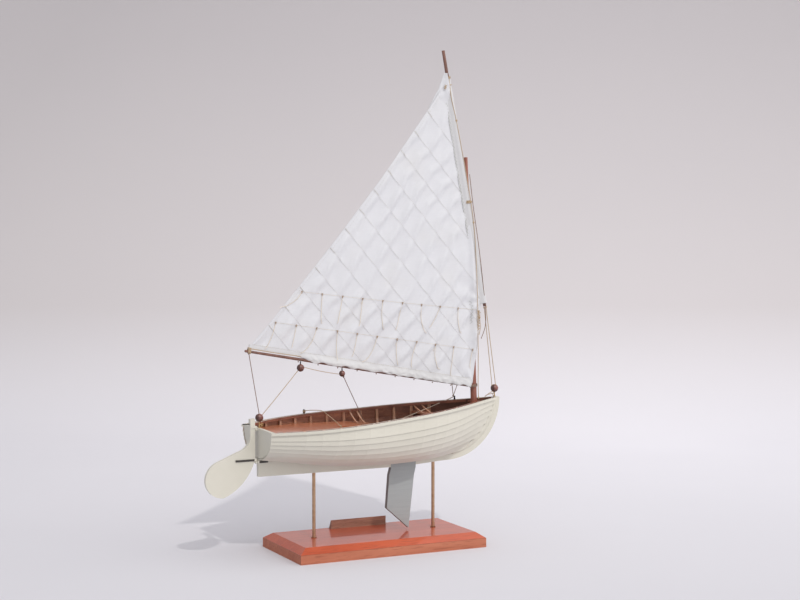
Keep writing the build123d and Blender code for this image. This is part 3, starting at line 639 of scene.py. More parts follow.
def runs_object(name, runs):
    """Edges along each run of points, given in millimetres."""
    mesh = bpy.data.meshes.new(name)
    places, edges = [], []
    for run in runs:
        start = len(places)
        places += [tuple(c * MM for c in point) for point in run]
        edges += [(start + i, start + i + 1) for i in range(len(run) - 1)]
    mesh.from_pydata(places, edges, [])
    return placed(name, mesh)


def grown(name, runs, kind, finish, **sizes):
    """Runs turned into a plain mesh by a geometry tree."""
    source = runs_object(name + "_path", runs)
    tree = tree_for(kind)
    growth = source.modifiers.new("Growth", "NODES")
    growth.node_group = tree
    values = {"Material": finish, **sizes}
    for item in tree.interface.items_tree:
        if item.item_type == "SOCKET" and item.in_out == "INPUT" and item.name in values:
            growth[item.identifier] = values[item.name]
    graph = bpy.context.evaluated_depsgraph_get()
    mesh = bpy.data.meshes.new_from_object(source.evaluated_get(graph), preserve_all_data_layers=True,
                                           depsgraph=graph)
    mesh.name = name
    bpy.data.objects.remove(source)
    if not len(mesh.polygons):
        raise RuntimeError(name + " came out empty")
    return placed(name, mesh)


def threads(name, runs, radius, finish, body, sides=8):
    piece = grown(name, runs, "thread", FINISH[finish], Radius=radius * MM, Sides=sides)
    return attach(piece, body) if body else piece


def stitches(name, runs, finish, step, length, radius):
    piece = grown(name, runs, "stitch", FINISH[finish], Step=step * MM, Length=length * MM,
                  Radius=radius * MM)
    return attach(piece, RIG)


def eased(points, steps=8):
    """A smooth run through given points."""
    points = [Vector(p) for p in points]
    ends = [2 * points[0] - points[1], *points, 2 * points[-1] - points[-2]]
    run = []
    for a, b, c, d in zip(ends, ends[1:], ends[2:], ends[3:]):
        for k in range(steps):
            t = k / steps
            run.append(0.5 * (2 * b + (c - a) * t + (2 * a - 5 * b + 4 * c - d) * t * t
                              + (3 * b - a - 3 * c + d) * t ** 3))
    return run + [points[-1]]


def straight(a, b, sag=0.0, steps=16):
    """A taut line between two points with a little sag."""
    a, b = Vector(a), Vector(b)
    return [a.lerp(b, k / steps) - Vector((0, 0, sag * math.sin(math.pi * k / steps)))
            for k in range(steps + 1)]


def knot(centre, size):
    """A small overhand knot."""
    run = []
    for k in range(37):
        t = 2 * math.pi * k / 36
        run.append(Vector(centre) + size * Vector((0.42 * (math.sin(t) + 2 * math.sin(2 * t)),
                                                   0.35 * math.sin(3 * t),
                                                   0.42 * (math.cos(t) - 2 * math.cos(2 * t)))))
    return run


def zigzag(k, size):
    return size if k % 2 else -size


def beside_rig(spot, side):
    """A point off the rig's plane; side is positive to port."""
    return Vector((spot.x, RIG_SIDE + side, spot.y))


def turns_round(centres, radii, axis, side, turns, pitch):
    """Turns of line round one or two spars; side is a direction square to the axis."""
    axis, side = Vector(axis).normalized(), Vector(side).normalized()
    other = axis.cross(side)
    run = []
    steps = 40
    for k in range(int(turns * steps) + 1):
        angle = 2 * math.pi * k / steps
        out = side * math.cos(angle) + other * math.sin(angle)
        spots = [(Vector(c), Vector(c) + out * r, r) for c, r in zip(centres, radii)]
        reach, place = max((centre.dot(out) + r, tuple(spot)) for centre, spot, r in spots)
        run.append(Vector(place) + axis * pitch * (k / steps - turns / 2))
    return run


# The sail's surface


def smooth_step(t):
    t = min(max(t, 0.0), 1.0)
    return t * t * (3 - 2 * t)


def aft_of_yard(x, z):
    return (Vector((x, z)) - YARD_HEEL).dot(YARD_AFT)


def above_boom(x, z):
    return (Vector((x, z)) - BOOM_AFT).dot(BOOM_UP)


def aft_of_luff(x, z):
    return (Vector((x, z)) - TACK).dot(LUFF_AFT)


def leech_point(s):
    return CLEW.lerp(PEAK, s) + LEECH_INWARD * LEECH_HOLLOW * 4 * s * (1 - s)


def leech_distance(x, z):
    """How far a point is inside the leech, in millimetres."""
    offset = Vector((x, z)) - CLEW
    s = offset.dot(LEECH_ALONG) / (PEAK - CLEW).length
    return offset.dot(LEECH_INWARD) - LEECH_HOLLOW * 4 * s * (1 - s)


def mast_fold(x, z):
    """How much the cloth is pressed into a fold by the mast behind it."""
    from_mast = x - 141.8 + 0.04 * (z - 180)
    return math.exp(-(from_mast / 4.6) ** 2) * smooth_step((z - 222) / 30) * smooth_step((450 - z) / 50)


def cloth_side(x, z):
    """The sail's place across the boat: belly, wrinkles square to the seams, and gathers at the corners."""
    sail = bpy.context.scene.dinghy_sail
    head, foot = aft_of_yard(x, z), above_boom(x, z)
    free = smooth_step(head / 26) * smooth_step((foot - 4) / 22)
    belly = sail.belly / MM * (1 - math.exp(-max(head, 0) / 55)) * (1 - math.exp(-max(foot, 0) / 55))
    across = x * FOLD_ACROSS.x + z * FOLD_ACROSS.y
    along = (SEAM_FIRST - (x * SEAM_ACROSS.x + z * SEAM_ACROSS.y)) / SEAM_STEP
    drift = noise.noise(Vector((x * 0.011, z * 0.011, 3.0)))
    panel = math.floor(along)
    slip = noise.noise(Vector((panel * 1.7, 0.5, 9.0))) * 0.22
    slip *= 1 - abs(2 * (along - panel) - 1)
    turn = 2 * math.pi * (across / sail.wrinkle_spacing * MM + 0.5 * drift + slip)
    ridge = math.sin(turn) + 0.35 * math.sin(2 * turn + 0.8)
    pinch = 0.45 + 0.55 * math.sin(math.pi * (along - panel)) ** 0.7
    strength = 0.75 + 0.5 * noise.noise(Vector((x * 0.02, z * 0.02, 12.0)))
    fine = noise.noise(Vector((x * 0.09, z * 0.07, 5.0))) * 0.22
    broad = noise.noise(Vector((x * 0.016, z * 0.016, 7.0))) * 1.3
    gathers = 0.0
    for corner, reach, size in GATHERS:
        away = Vector((x, z)) - corner
        ray = math.sin(7 * math.atan2(away.y, away.x) + corner.x)
        gathers += size * math.exp(-away.length / reach) * ray * smooth_step(away.length / 9)
    edge = smooth_step(leech_distance(x, z) / 10)
    side = RIG_SIDE - belly
    side += sail.wrinkle_height / MM * ridge * pinch * strength * free * (0.45 + 0.55 * edge)
    side -= 3.0 * mast_fold(x, z) * smooth_step(foot / 20)
    side += (fine + broad) * free + gathers * smooth_step((head - 3) / 6) * smooth_step((foot - 3) / 6)
    return min(side, -5.0)


def on_cloth(x, z, lift):
    """A point on the cloth; lift is positive to port."""
    return Vector((x, cloth_side(x, z) + lift, z))


def mesh_piece(name, made, finish, thickness, body=RIG):
    """A bmesh in millimetres turned into a piece with a thickness, which rides where a body is given."""
    bmesh.ops.scale(made, vec=(MM, MM, MM), verts=made.verts)
    bmesh.ops.recalc_face_normals(made, faces=made.faces)
    piece = placed(name, smooth_mesh(name, made, FINISH[finish]))
    wall = piece.modifiers.new("Thickness", "SOLIDIFY")
    wall.thickness = thickness * MM
    wall.offset = 0.0
    if body:
        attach(piece, body)
    return piece


def grid_faces(made, rows):
    for low, high in zip(rows, rows[1:]):
        for a, b, c, d in zip(low, low[1:], high[1:], high):
            ring = list(dict.fromkeys((a, b, c, d)))
            if len(ring) > 2:
                made.faces.new(ring)


def sail_sheet():
    """The cloth itself, with its own edges, belly and wrinkles."""
    made = bmesh.new()
    rows = []
    luff_rows, head_rows, columns = 46, 118, 132
    stations = [TACK.lerp(THROAT, k / luff_rows) for k in range(luff_rows)]
    stations += [THROAT.lerp(PEAK, k / head_rows) for k in range(head_rows)]
    total = len(stations)
    for k, front in enumerate(stations):
        back = leech_point(k / total)
        row = []
        for j in range(columns + 1):
            x, z = front.lerp(back, j / columns)
            row.append(made.verts.new((x, cloth_side(x, z), z)))
        rows.append(row)
    top = made.verts.new((PEAK.x, cloth_side(*PEAK), PEAK.y))
    rows.append([top] * (columns + 1))
    grid_faces(made, rows)
    return mesh_piece("sail_cloth", made, "sail", 0.4, body=None)


def seam_strip(name, centre_line, lift):
    """A sewn seam, a thin strip that follows the cloth along a line of (x, z) points."""
    half_width = 0.6
    made = bmesh.new()
    rows = []
    for k, point in enumerate(centre_line):
        ahead = centre_line[min(k + 1, len(centre_line) - 1)] - centre_line[max(k - 1, 0)]
        across = Vector((-ahead.y, ahead.x)).normalized()
        row = []
        for offset in (-half_width, -half_width * 0.3, half_width * 0.3, half_width):
            x, z = point + across * offset
            row.append(made.verts.new(on_cloth(x, z, lift)))
        rows.append(row)
    grid_faces(made, rows)
    return mesh_piece(name, made, "sail", 0.06)


def leech_share(level):
    """How far up the leech a seam of that level starts, from nought to one."""
    low, high = 0.0, 1.0
    for _ in range(30):
        middle = (low + high) / 2
        if leech_point(middle).dot(SEAM_ACROSS) < level:
            low = middle
        else:
            high = middle
    return low


def seam_lines():
    """Each cloth seam as (x, z) points from the leech to the yard, luff or foot."""
    lines = []
    for k in range(SEAM_COUNT):
        point = leech_point(leech_share(SEAM_FIRST - SEAM_STEP * k)) + SEAM_RUN
        line = []
        while aft_of_yard(*point) > 8 and above_boom(*point) > 9 and aft_of_luff(*point) > 3:
            line.append(point.copy())
            point = point + SEAM_RUN * 2.0
        if len(line) > 3:
            lines.append(line)
    return lines


def swept_cloth(name, origin, along, out, length, section, steps):
    """A sleeve of cloth along a spar; section(distance) gives (out, side) points round it."""
    made = bmesh.new()
    rows = []
    for k in range(steps + 1):
        distance = length * k / steps
        base = origin + along * distance
        row = []
        for reach, side in section(distance):
            x, z = base + out * reach
            row.append(made.verts.new((x, RIG_SIDE + side, z)))
        rows.append(row)
    grid_faces(made, rows)
    piece = mesh_piece(name, made, "sleeve", 0.35)
    finer = piece.modifiers.new("Rounding", "SUBSURF")
    finer.levels = finer.render_levels = 1
    return piece


def ruffle(distance, index, size, seed):
    return size * noise.noise(Vector((distance * 0.075, index * 0.45, seed)))


def sleeve_section(distance):
    """Round the yard: tabs lie on both sides of the sail."""
    base = ((9.2, -0.95), (6.4, -0.8), (4.2, -1.7), (2.0, -3.1), (-0.4, -3.2), (-2.3, -2.4), (-3.2, -0.6),
            (-3.0, 1.1), (-1.7, 2.4), (0.4, 2.75), (2.3, 2.35), (4.2, 1.5), (6.6, 0.95), (9.2, 0.85))
    shape = []
    closing = smooth_step((distance - 272) / 18)
    for index, (reach, side) in enumerate(base):
        tab = 1 if 2 < index < 11 else 0.25
        reach = reach * (1 - 0.35 * closing * (reach > 3)) + ruffle(distance, index, 0.35, 2.0)
        shape.append((reach, side + ruffle(distance, index, 0.3 * tab, 6.0)))
    return shape


def foot_section(distance, sign):
    """One half over the boom, open below, and drawn up clear of the boom towards the clew."""
    wrap = smooth_step((distance - 62) / 26)
    tight = 0.76 + 0.24 * abs(math.sin(math.pi * (distance - 66) / 26.5)) ** 0.7
    tight *= 0.80 + 0.65 * math.exp(-((distance - 118) / 34) ** 2) - 0.12 * smooth_step((distance - 190) / 60)
    full = ((10.0, 0.8), (7.6, 1.2), (5.4, 1.9), (3.4, 2.8), (1.7, 3.1), (0.5, 3.05), (-0.4, 2.7),
            (-0.9, 2.3))
    short = ((9.4, 0.7), (8.0, 0.8), (6.8, 0.85), (5.8, 0.9), (4.8, 0.9), (4.0, 0.8), (3.4, 0.6), (3.1, 0.3))
    half = []
    for index, (a, b) in enumerate(zip(short, full)):
        reach, side = (a[i] * (1 - wrap) + b[i] * wrap for i in (0, 1))
        swell = wrap * (0.0 if index < 2 else 1.0)
        low = ruffle(distance * 1.6, 9, 1.7, 21.0 + sign) * swell * (index > 5)
        reach = reach + ruffle(distance, index, 1.3 * swell + 0.25, 4.0 + sign) + low
        puff = abs(ruffle(distance * 1.5, index, 2.2 * swell, 8.0 + sign))
        half.append((reach, sign * (side * (1 + (tight - 1) * swell) + puff)))
    return half


def reef_rows():
    """Both rows of reef points as (x, z)."""
    upper = [Vector((-100.8 + 26.8 * k, 321.8 - 25.2 * k / 8 - 0.6 * math.sin(math.pi * k / 8)))
             for k in range(9)]
    lower = [Vector((-134.9 + 26.95 * k, 285.5 - 42.1 * k / 10)) for k in range(11)]
    return upper, lower


# Settings


class DinghyStageSettings(bpy.types.PropertyGroup):
    lens: bpy.props.FloatProperty(name="Lens", description="Focal length of the camera, in millimetres",
                                  default=74.25, min=10.0)
    sun: bpy.props.FloatProperty(name="Sun", description="Strength of the key light", default=0.90, min=0.0)
    sky: bpy.props.FloatProperty(name="Sky", description="Strength of the even light from all round",
                                 default=0.895, min=0.0)
    floor: bpy.props.FloatVectorProperty(
        name="Floor", description="Colour of the floor", subtype="COLOR",
        default=(0.80, 0.79, 0.84), min=0.0, max=1.0)
    # The backdrop high up is the same paper painted darker, as painted shade
    wall: bpy.props.FloatVectorProperty(
        name="Wall", description="Colour of the backdrop high up", subtype="COLOR",
        default=(0.665, 0.63, 0.645), min=0.0, max=1.0)


class DinghyFinishSettings(bpy.types.PropertyGroup):
    hull_paint: bpy.props.FloatVectorProperty(
        name="Hull paint", description="Cream paint of the planking and rudder", subtype="COLOR",
        default=(0.655, 0.628, 0.548), min=0.0, max=1.0)
    board_paint: bpy.props.FloatVectorProperty(
        name="Board paint", description="Grey paint of the centreboard", subtype="COLOR",
        default=(0.36, 0.385, 0.39), min=0.0, max=1.0)
    sailcloth: bpy.props.FloatVectorProperty(
        name="Sailcloth", description="Colour of the sail", subtype="COLOR",
        default=(0.69, 0.69, 0.715), min=0.0, max=1.0)
    line: bpy.props.FloatVectorProperty(
        name="Line", description="Colour of the tan line", subtype="COLOR",
        default=(0.62, 0.46, 0.30), min=0.0, max=1.0)


class DinghySailSettings(bpy.types.PropertyGroup):
    belly: bpy.props.FloatProperty(name="Belly", description="How far the sail swells to starboard",
                                   default=0.0045, min=0.0, max=0.03, unit="LENGTH")
    wrinkle_height: bpy.props.FloatProperty(
        name="Wrinkle height", description="Half the height of the soft ridges",
        default=0.0021, min=0.0, max=0.004, unit="LENGTH")
    wrinkle_spacing: bpy.props.FloatProperty(
        name="Wrinkle spacing", description="Distance between the soft ridges",
        default=0.0250, min=0.004, max=0.1, unit="LENGTH")
    stitch_step: bpy.props.FloatProperty(name="Stitch step", description="Distance from stitch to stitch",
                                         default=0.0026, min=0.0005, max=0.02, unit="LENGTH")


class DinghyLineSettings(bpy.types.PropertyGroup):
    sheet_line: bpy.props.FloatProperty(name="Rigging line", description="Diameter of the running lines",
                                        default=0.0009, min=0.0002, max=0.003, unit="LENGTH")
    reef_line: bpy.props.FloatProperty(name="Reef line", description="Diameter of the reef points",
                                       default=0.0006, min=0.0002, max=0.003, unit="LENGTH")
    lashing: bpy.props.FloatProperty(name="Lashing line", description="Diameter of the lashings",
                                     default=0.0009, min=0.0002, max=0.003, unit="LENGTH")


# Operators


class DINGHY_OT_stage(bpy.types.Operator):
    """Sets the camera, the lights, the floor and the backdrop"""
    bl_idname = "dinghy.stage"
    bl_label = "Set the stage"

    def execute(self, context):
        scene, s = context.scene, context.scene.dinghy_stage
        yaw = math.radians(CAMERA_YAW)
        camera = placed("Camera", bpy.data.cameras.new("Camera"))
        camera.data.lens = s.lens
        camera.data.sensor_width = SENSOR_WIDTH
        camera.location = CAMERA_PLACE
        camera.rotation_euler = (math.radians(90 + CAMERA_PITCH), 0.0, -yaw)
        scene.camera = camera
        sun = placed("Key light", bpy.data.lights.new("Key light", "SUN"))
        sun.data.energy = s.sun
        sun.data.angle = math.radians(1.6)
        sun.data.color = (1.0, 0.965, 0.91)
        sun.rotation_euler = Vector(SUN_TOWARD).to_track_quat("Z", "Y").to_euler()
        world = bpy.data.worlds.new("Studio")
        world.use_nodes = True
        self.sky_light(world.node_tree, s.sky)
        scene.world = world
        scene.view_settings.view_transform = "Standard"
        self.sweep(context, yaw)
        return {"FINISHED"}

    def sky_light(self, tree, strength):
        """Light from all round, brighter from the fore side in front and above, as by a window."""
        background = tree.nodes["Background"].inputs
        background["Strength"].default_value = strength
        ray = shade(tree, "ShaderNodeTexCoord").outputs["Generated"]
        toward = Vector((0.80, -0.45, 0.40)).normalized()
        cosine = shade(tree, "ShaderNodeVectorMath", {0: ray, 1: tuple(toward)}, operation="DOT_PRODUCT")
        level = spread(tree, cosine.outputs["Value"], -1.0, 1.0)
        feed(tree, background["Color"], blended(tree, level, (0.20, 0.21, 0.25), (1.63, 1.62, 1.62)))

    def sweep(self, context, yaw):
        """A floor that curves up into a backdrop square to the camera."""
        s = context.scene.dinghy_stage
        ahead = Vector((math.sin(yaw), math.cos(yaw), 0))
        right = Vector((math.cos(yaw), -math.sin(yaw), 0))
        flat_end, bend, top = 0.9, 0.9, 3.2
        profile = [(-2.6, 0.0), (-1.0, 0.0), (0.0, 0.0), (flat_end, 0.0)]
        profile += [(flat_end + bend * math.sin(a), bend - bend * math.cos(a))
                    for a in (math.radians(90) * k / 16 for k in range(1, 17))]
        profile += [(flat_end + bend, top)]
        made = bmesh.new()
        rows = [[made.verts.new(ahead * d + right * w + Vector((0, 0, h))) for w in (-3.4, -1.2, 0, 1.2, 3.4)]
                for d, h in profile]
        grid_faces(made, rows)
        finish = self.paper(s, ahead * 0.9 + right * 0.45)
        floor = placed("floor", smooth_mesh("floor", made, finish))

    def paper(self, s, painted_light_spot):
        """Paper with a painted pool of light round one spot on the floor, and painted darker higher up, where
        it takes the wall's colour.
        """
        material, tree, surface = new_finish("Paper sweep", 0.9, {"Specular IOR Level": 0.2})
        place = shade(tree, "ShaderNodeTexCoord").outputs["Object"]
        # Painted shade: the paper turns to the darker wall colour higher up
        tint = blended(tree, spread(tree, split(tree, place)["Z"], 0.0, 0.22), tuple(s.floor), tuple(s.wall))
        fibre = spread(tree, noise_over(tree, place, 3.0, 3.0), 0.3, 0.7, 0.0, 0.05)
        tint = blended(tree, fibre, tint, (0.55, 0.54, 0.58))
        # Painted light: a pool of light round one spot, fading away from it
        away = shade(tree, "ShaderNodeVectorMath", {0: place, 1: tuple(painted_light_spot)}, operation="DISTANCE")
        fall = spread(tree, away.outputs["Value"], 0.0, 1.7, 1.04, 0.73)
        light = shade(tree, "ShaderNodeCombineColor", {"Red": fall, "Green": fall, "Blue": fall}).outputs[0]
        feed(tree, surface["Base Color"], blended(tree, 1.0, tint, light, "MULTIPLY"))
        return material


class DINGHY_OT_finish_hull(bpy.types.Operator):
    """Paints the planking outside and varnishes everything inside the hull"""
    bl_idname = "dinghy.finish_hull"
    bl_label = "Finish the hull"

    def execute(self, context):
        finishes()
        dress("plank", *[name for name in NODES if name.startswith("strake_")])
        dress("hull", "keel_and_stem", "transom", "rub_rails", "rudder")
        dress("inwale", "inwales")
        dress("inside", "hog", "mast_partner", "mast_step")
        dress("bent", "ribs", "thwart_knees")
        dress("cross", "fore_thwart", "middle_thwart")
        dress("bench", "stern_sheets")
        dress("grey", "centreboard")
        joint_fill()
        return {"FINISHED"}


def by_stem(angle, radius):
    """The x and z of a spot, by its angle and distance from the centre of the stem's curve."""
    return STEM_CENTRE.x + radius * math.cos(angle), STEM_CENTRE.y + radius * math.sin(angle)


def outer_reach(trees, sign, angle, radius):
    """Half breadth of the hull at a spot by the stem, or nothing where it is open."""
    x, z = by_stem(angle, radius)
    hits = [tree.ray_cast(Vector((x, sign * 60, z)) * MM, Vector((0, -sign, 0)))[0] for tree in trees]
    return max((sign * hit.y / MM for hit in hits if hit and sign * hit.y > 0), default=None)


def evened(values, reach=6):
    """Each value as the mean of its neighbours."""
    windows = [values[max(k - reach, 0):k + reach + 1] for k in range(len(values))]
    return [sum(window) / len(window) for window in windows]


def joint_fill():
    """A painted fillet over the open joint of the planks with the stem, on both sides.

    The joint is found by casting rays at the frame's own planks and stem from each side.
    """
    graph = bpy.context.evaluated_depsgraph_get()
    trees = [bvhtree.BVHTree.FromObject(NODES[name], graph) for name in NODES
             if name.startswith("strake_") or name == "keel_and_stem"]
    made = bmesh.new()
    angles = [math.radians(-84 + 82 * k / 110) for k in range(111)]
    tried = [60 + 0.25 * k for k in range(57)]
    for sign in (-1, 1):
        ends = []
        for angle in angles:
            met = [r for r in tried if outer_reach(trees, sign, angle, r) is not None]
            open_at = [r for r in tried if r not in met and min(met, default=r) < r < max(met, default=r)]
            ends.append((min(open_at, default=68.4) - 1.6, max(open_at, default=69.2) + 1.4))
        inner, outer = (evened([end[i] for end in ends]) for i in (0, 1))
        reaches = [evened([outer_reach(trees, sign, a, r) or 2.5 for a, r in zip(angles, line)], 3)
                   for line in (inner, outer)]
        columns = []
        for share in (0.0, 0.15, 0.4, 0.7, 0.9, 1.0):
            column = []
            for k, angle in enumerate(angles):
                radius = inner[k] + (outer[k] - inner[k]) * share
                reach = reaches[0][k] + (reaches[1][k] - reaches[0][k]) * share
                reach += 0.22 if 0 < share < 1 else -0.05
                x, z = by_stem(angle, radius)
                column.append(made.verts.new((x, sign * reach, z)))
            columns.append(column)
        grid_faces(made, columns)
    return mesh_piece("stem_joint_fill", made, "hull", 0.2, body=BOAT)


class DINGHY_OT_finish_plinth(bpy.types.Operator):
    """Varnishes the plinth and plate and tarnishes the rods"""
    bl_idname = "dinghy.finish_plinth"
    bl_label = "Finish the plinth"

    def execute(self, context):
        finishes()
        dress("plinth", "plinth")
        dress("plate", "nameplate")
        dress("rod", "rods")
        dress("collar", "rod_collars")
        return {"FINISHED"}


class DINGHY_OT_finish_spars(bpy.types.Operator):
    """Varnishes the spars and beads and blackens the fittings"""
    bl_idname = "dinghy.finish_spars"
    bl_label = "Finish spars and fittings"

    def execute(self, context):
        finishes()
        dress("mast", "mast")
        dress("yard", "yard", "boom")
        dress("bead", "end_beads", "boom_beads")
        dress("brass", "bead_eyes")
        dress("iron", "boom_hooks", "rail_pins")
        dress("strap", "gudgeons", "pintles")
        dress("line", "parrel", "boom_collar")
        dress("sail", "sail")
        rings = []
        for x, z, size in ((-151.0, 160.6, 1.7), (-149.8, 162.2, 1.5), (169.4, 183.6, 1.5)):
            rings.append([Vector((x + size * math.cos(a), -0.4, z + size * math.sin(a)))
                          for a in (2 * math.pi * k / 24 for k in range(25))])
        threads("eye_rings", rings, 0.35, "brass", BOAT)
        threads("rudder_peg", [straight((-174.5, -0.5, 163.6), (-165.5, -0.5, 163.2))], 0.6, "iron", RUDDER,
                sides=12)
        return {"FINISHED"}


class DINGHY_OT_sail(bpy.types.Operator):
    """Cuts the sail, its sleeve on the yard, its foot on the boom, its seams and a rumpled corner at the peak
    """
    bl_idname = "dinghy.sail"
    bl_label = "Make the sail"

    def execute(self, context):
        finishes()
        cloth_piece = sail_sheet()
        flat = [(TACK, THROAT, PEAK), (TACK, PEAK, CLEW)]
        area = sum(abs((b - a).cross(c - a)) / 2 for a, b, c in flat)
        area -= 2 / 3 * LEECH_HOLLOW * (PEAK - CLEW).length
        parts = [self.peak(), self.head(), self.foot("starboard", -1), self.foot("port", 1)]
        for side, sign in SIDES:
            parts += [seam_strip("seam_%d_%s" % (k + 1, side), line, sign * 0.2232)
                      for k, line in enumerate(seam_lines())]
        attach(cloth_piece, RIG)
        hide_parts("sail")
        return {"FINISHED"}

    def peak(self):
        """A rumpled corner of cloth drawn up beside the yard."""
        made = bmesh.new()
        edge = ((548.0, 71.0), (560.0, 78.6), (571.0, 84.6), (579.0, 88.0), (586.0, 90.8), (592.0, 94.0))
        rows = []
        for k in range(25):
            z = 548.0 + 44.0 * k / 24
            low, high = next((a, b) for a, b in zip(edge, edge[1:]) if z <= b[0])
            left = low[1] + (high[1] - low[1]) * (z - low[0]) / (high[0] - low[0])
            right = YARD_HEEL.x + YARD_ALONG.x / YARD_ALONG.y * (z - YARD_HEEL.y) - 1.0
            row = []
            for j in range(9):
                x = left + (right - left) * j / 8 + ruffle(z * 2.2, 3, 0.9, 31.0)
                side = RIG_SIDE - 1.0 - 2.6 * smooth_step(j / 8) * smooth_step((z - 555) / 14)
                side += ruffle(z * 2.0, j * 1.6, 1.1, 33.0) * smooth_step((z - 550) / 12)
                row.append(made.verts.new((x, side, z)))
            rows.append(row)
        grid_faces(made, rows)
        return mesh_piece("peak_cloth", made, "sail", 0.3)

    def head(self):
        start = YARD_HEEL + YARD_ALONG * 4.0
        return swept_cloth("yard_sleeve", start, YARD_ALONG, YARD_AFT, 290.0, sleeve_section, 100)

    def foot(self, label, sign):
        start = BOOM_AFT + BOOM_ALONG * 4.0
        return swept_cloth("boom_sleeve_" + label, start, BOOM_ALONG, BOOM_UP, 307.0,
                           lambda distance: foot_section(distance, sign), 190)


class DINGHY_OT_stitching(bpy.types.Operator):
    """Sews the seams, hems, sleeve and reef bands"""
    bl_idname = "dinghy.stitching"
    bl_label = "Sew the sail"

    def execute(self, context):
        finishes()
        step = context.scene.dinghy_sail.stitch_step / MM
        seams = seam_lines()
        upper, lower = reef_rows()
        bands = [self.between(upper + [upper[-1] + Vector((32.0, -3.2))]), self.between(lower)]
        for side, sign in SIDES:
            stitches("seam_stitches_" + side, [[on_cloth(*p, sign * 0.45) for p in line] for line in seams],
                     "stitch", step, step * 0.72, 0.13)
            threads("reef_bands_" + side, [[on_cloth(*p, sign * 0.42) for p in band] for band in bands], 0.15,
                    "reef_line", RIG, sides=6)
            leech, sleeve, foot = self.hems(sign)
            stitches("hem_stitches_" + side, [foot], "tan_stitch", 2.6, 1.7, 0.15)
            stitches("leech_stitches_" + side, [leech], "stitch", 3.2, 1.2, 0.11)
            threads("seam_ends_" + side, [self.seam_end(line, sign) for line in seams], 0.13, "tan_stitch",
                    RIG, sides=6)
            luff = [on_cloth(131.5 + 0.12 * k + zigzag(k, 1.3), 305.0 - 2.0 * k, sign * 0.5)
                    for k in range(15)]
            stitches("sleeve_stitches_" + side, [sleeve, luff], "grey_stitch", 2.2, 2.4, 0.2)
        return {"FINISHED"}

    def between(self, row):
        """Points close together along a row."""
        return [a.lerp(b, k / 14) for a, b in zip(row, row[1:]) for k in range(14)]

    def seam_end(self, line, sign):
        """Zig-zag turns that lock a seam at the leech."""
        turns = [line[0] + SEAM_RUN * (0.9 * k) + SEAM_ACROSS * zigzag(k, 0.55) for k in range(11)]
        return [on_cloth(*p, sign * 0.5) for p in turns]

    def hems(self, sign):
        """Runs for the stitches: even along the leech, and zig-zag along the yard's sleeve and the foot."""
        leech = [leech_point(0.02 + 0.95 * k / 149) + LEECH_INWARD * 3.6 for k in range(150)]
        sleeve = [YARD_HEEL + YARD_ALONG * (8 + 2.2 * k) + YARD_AFT * (8.0 + zigzag(k, 1.2))
                  for k in range(124)]
        foot = [BOOM_AFT + BOOM_ALONG * (8 + 2.5 * k) + BOOM_UP * (9.3 + zigzag(k, 0.3))
                for k in range(120)]
        return ([on_cloth(*p, sign * 0.55) for p in leech], [beside_rig(p, sign * 1.25) for p in sleeve],
                [beside_rig(p, sign * 1.45) for p in foot])


class DINGHY_OT_reef_points(bpy.types.Operator):
    """Ties the reef points: a knot and a curved tail on each side of the sail"""
    bl_idname = "dinghy.reef_points"
    bl_label = "Tie the reef points"

    def execute(self, context):
        finishes()
        upper, lower = reef_rows()
        radius = context.scene.dinghy_lines.reef_line / MM / 2
        sways = {"upper": (-30.0, 0.0, -8.0, -6.0, 3.0, -9.0, 8.0, -15.0, 5.0),
                 "lower": (-14.0, -6.0, -23.0, 0.0, -7.0, -21.0, 2.0, -6.0, 7.0, -5.0, -3.0)}
        drops = {"upper": (18.0, 36.0, 33.0, 34.0, 36.0, 34.0, 36.0, 26.0, 32.0),
                 "lower": (31.0, 27.0, 30.0, 36.0, 28.0, 31.0, 33.0, 32.0, 32.0, 37.0, 24.0)}
        for side, sign in SIDES:
            runs, knots = [], []
            for label, row in (("upper", upper), ("lower", lower)):
                for k, point in enumerate(row):
                    sway = sways[label][k] * (1 if sign < 0 else -0.4)
                    runs.append(self.tail(point, sway, drops[label][k], sign, k))
                    spot = on_cloth(*point, sign * 0.8)
                    knots += [knot(spot, 0.8), knot(spot - Vector((0.1, 0, 1.3)), 0.6)]
            threads("reef_knots_" + side, knots, radius, "knot_line", RIG, sides=6)
            threads("reef_points_" + side, runs, radius, "reef_line", RIG, sides=7)
        return {"FINISHED"}

    def tail(self, point, sway, drop, sign, seed):
        """One tail, hanging down the cloth with its own bend."""
        bend = -2.5 + 3.2 * noise.noise(Vector((seed * 2.1, sign, 8.0)))
        places = []
        for t in (0.0, 0.25, 0.5, 0.75, 1.0):
            x = point.x + sway * t ** 1.5 + bend * math.sin(math.pi * t)
            z = point.y - drop * math.sin(math.pi / 2 * t) ** 0.9
            lift = 0.75 if leech_distance(x, z) > 2 else 1.2
            side = cloth_side(x, z) if above_boom(x, z) > 9 else RIG_SIDE + 3.2 * sign
            places.append((x, side + sign * (lift + 0.5 * math.sin(math.pi * t)), z))
        return eased(places)


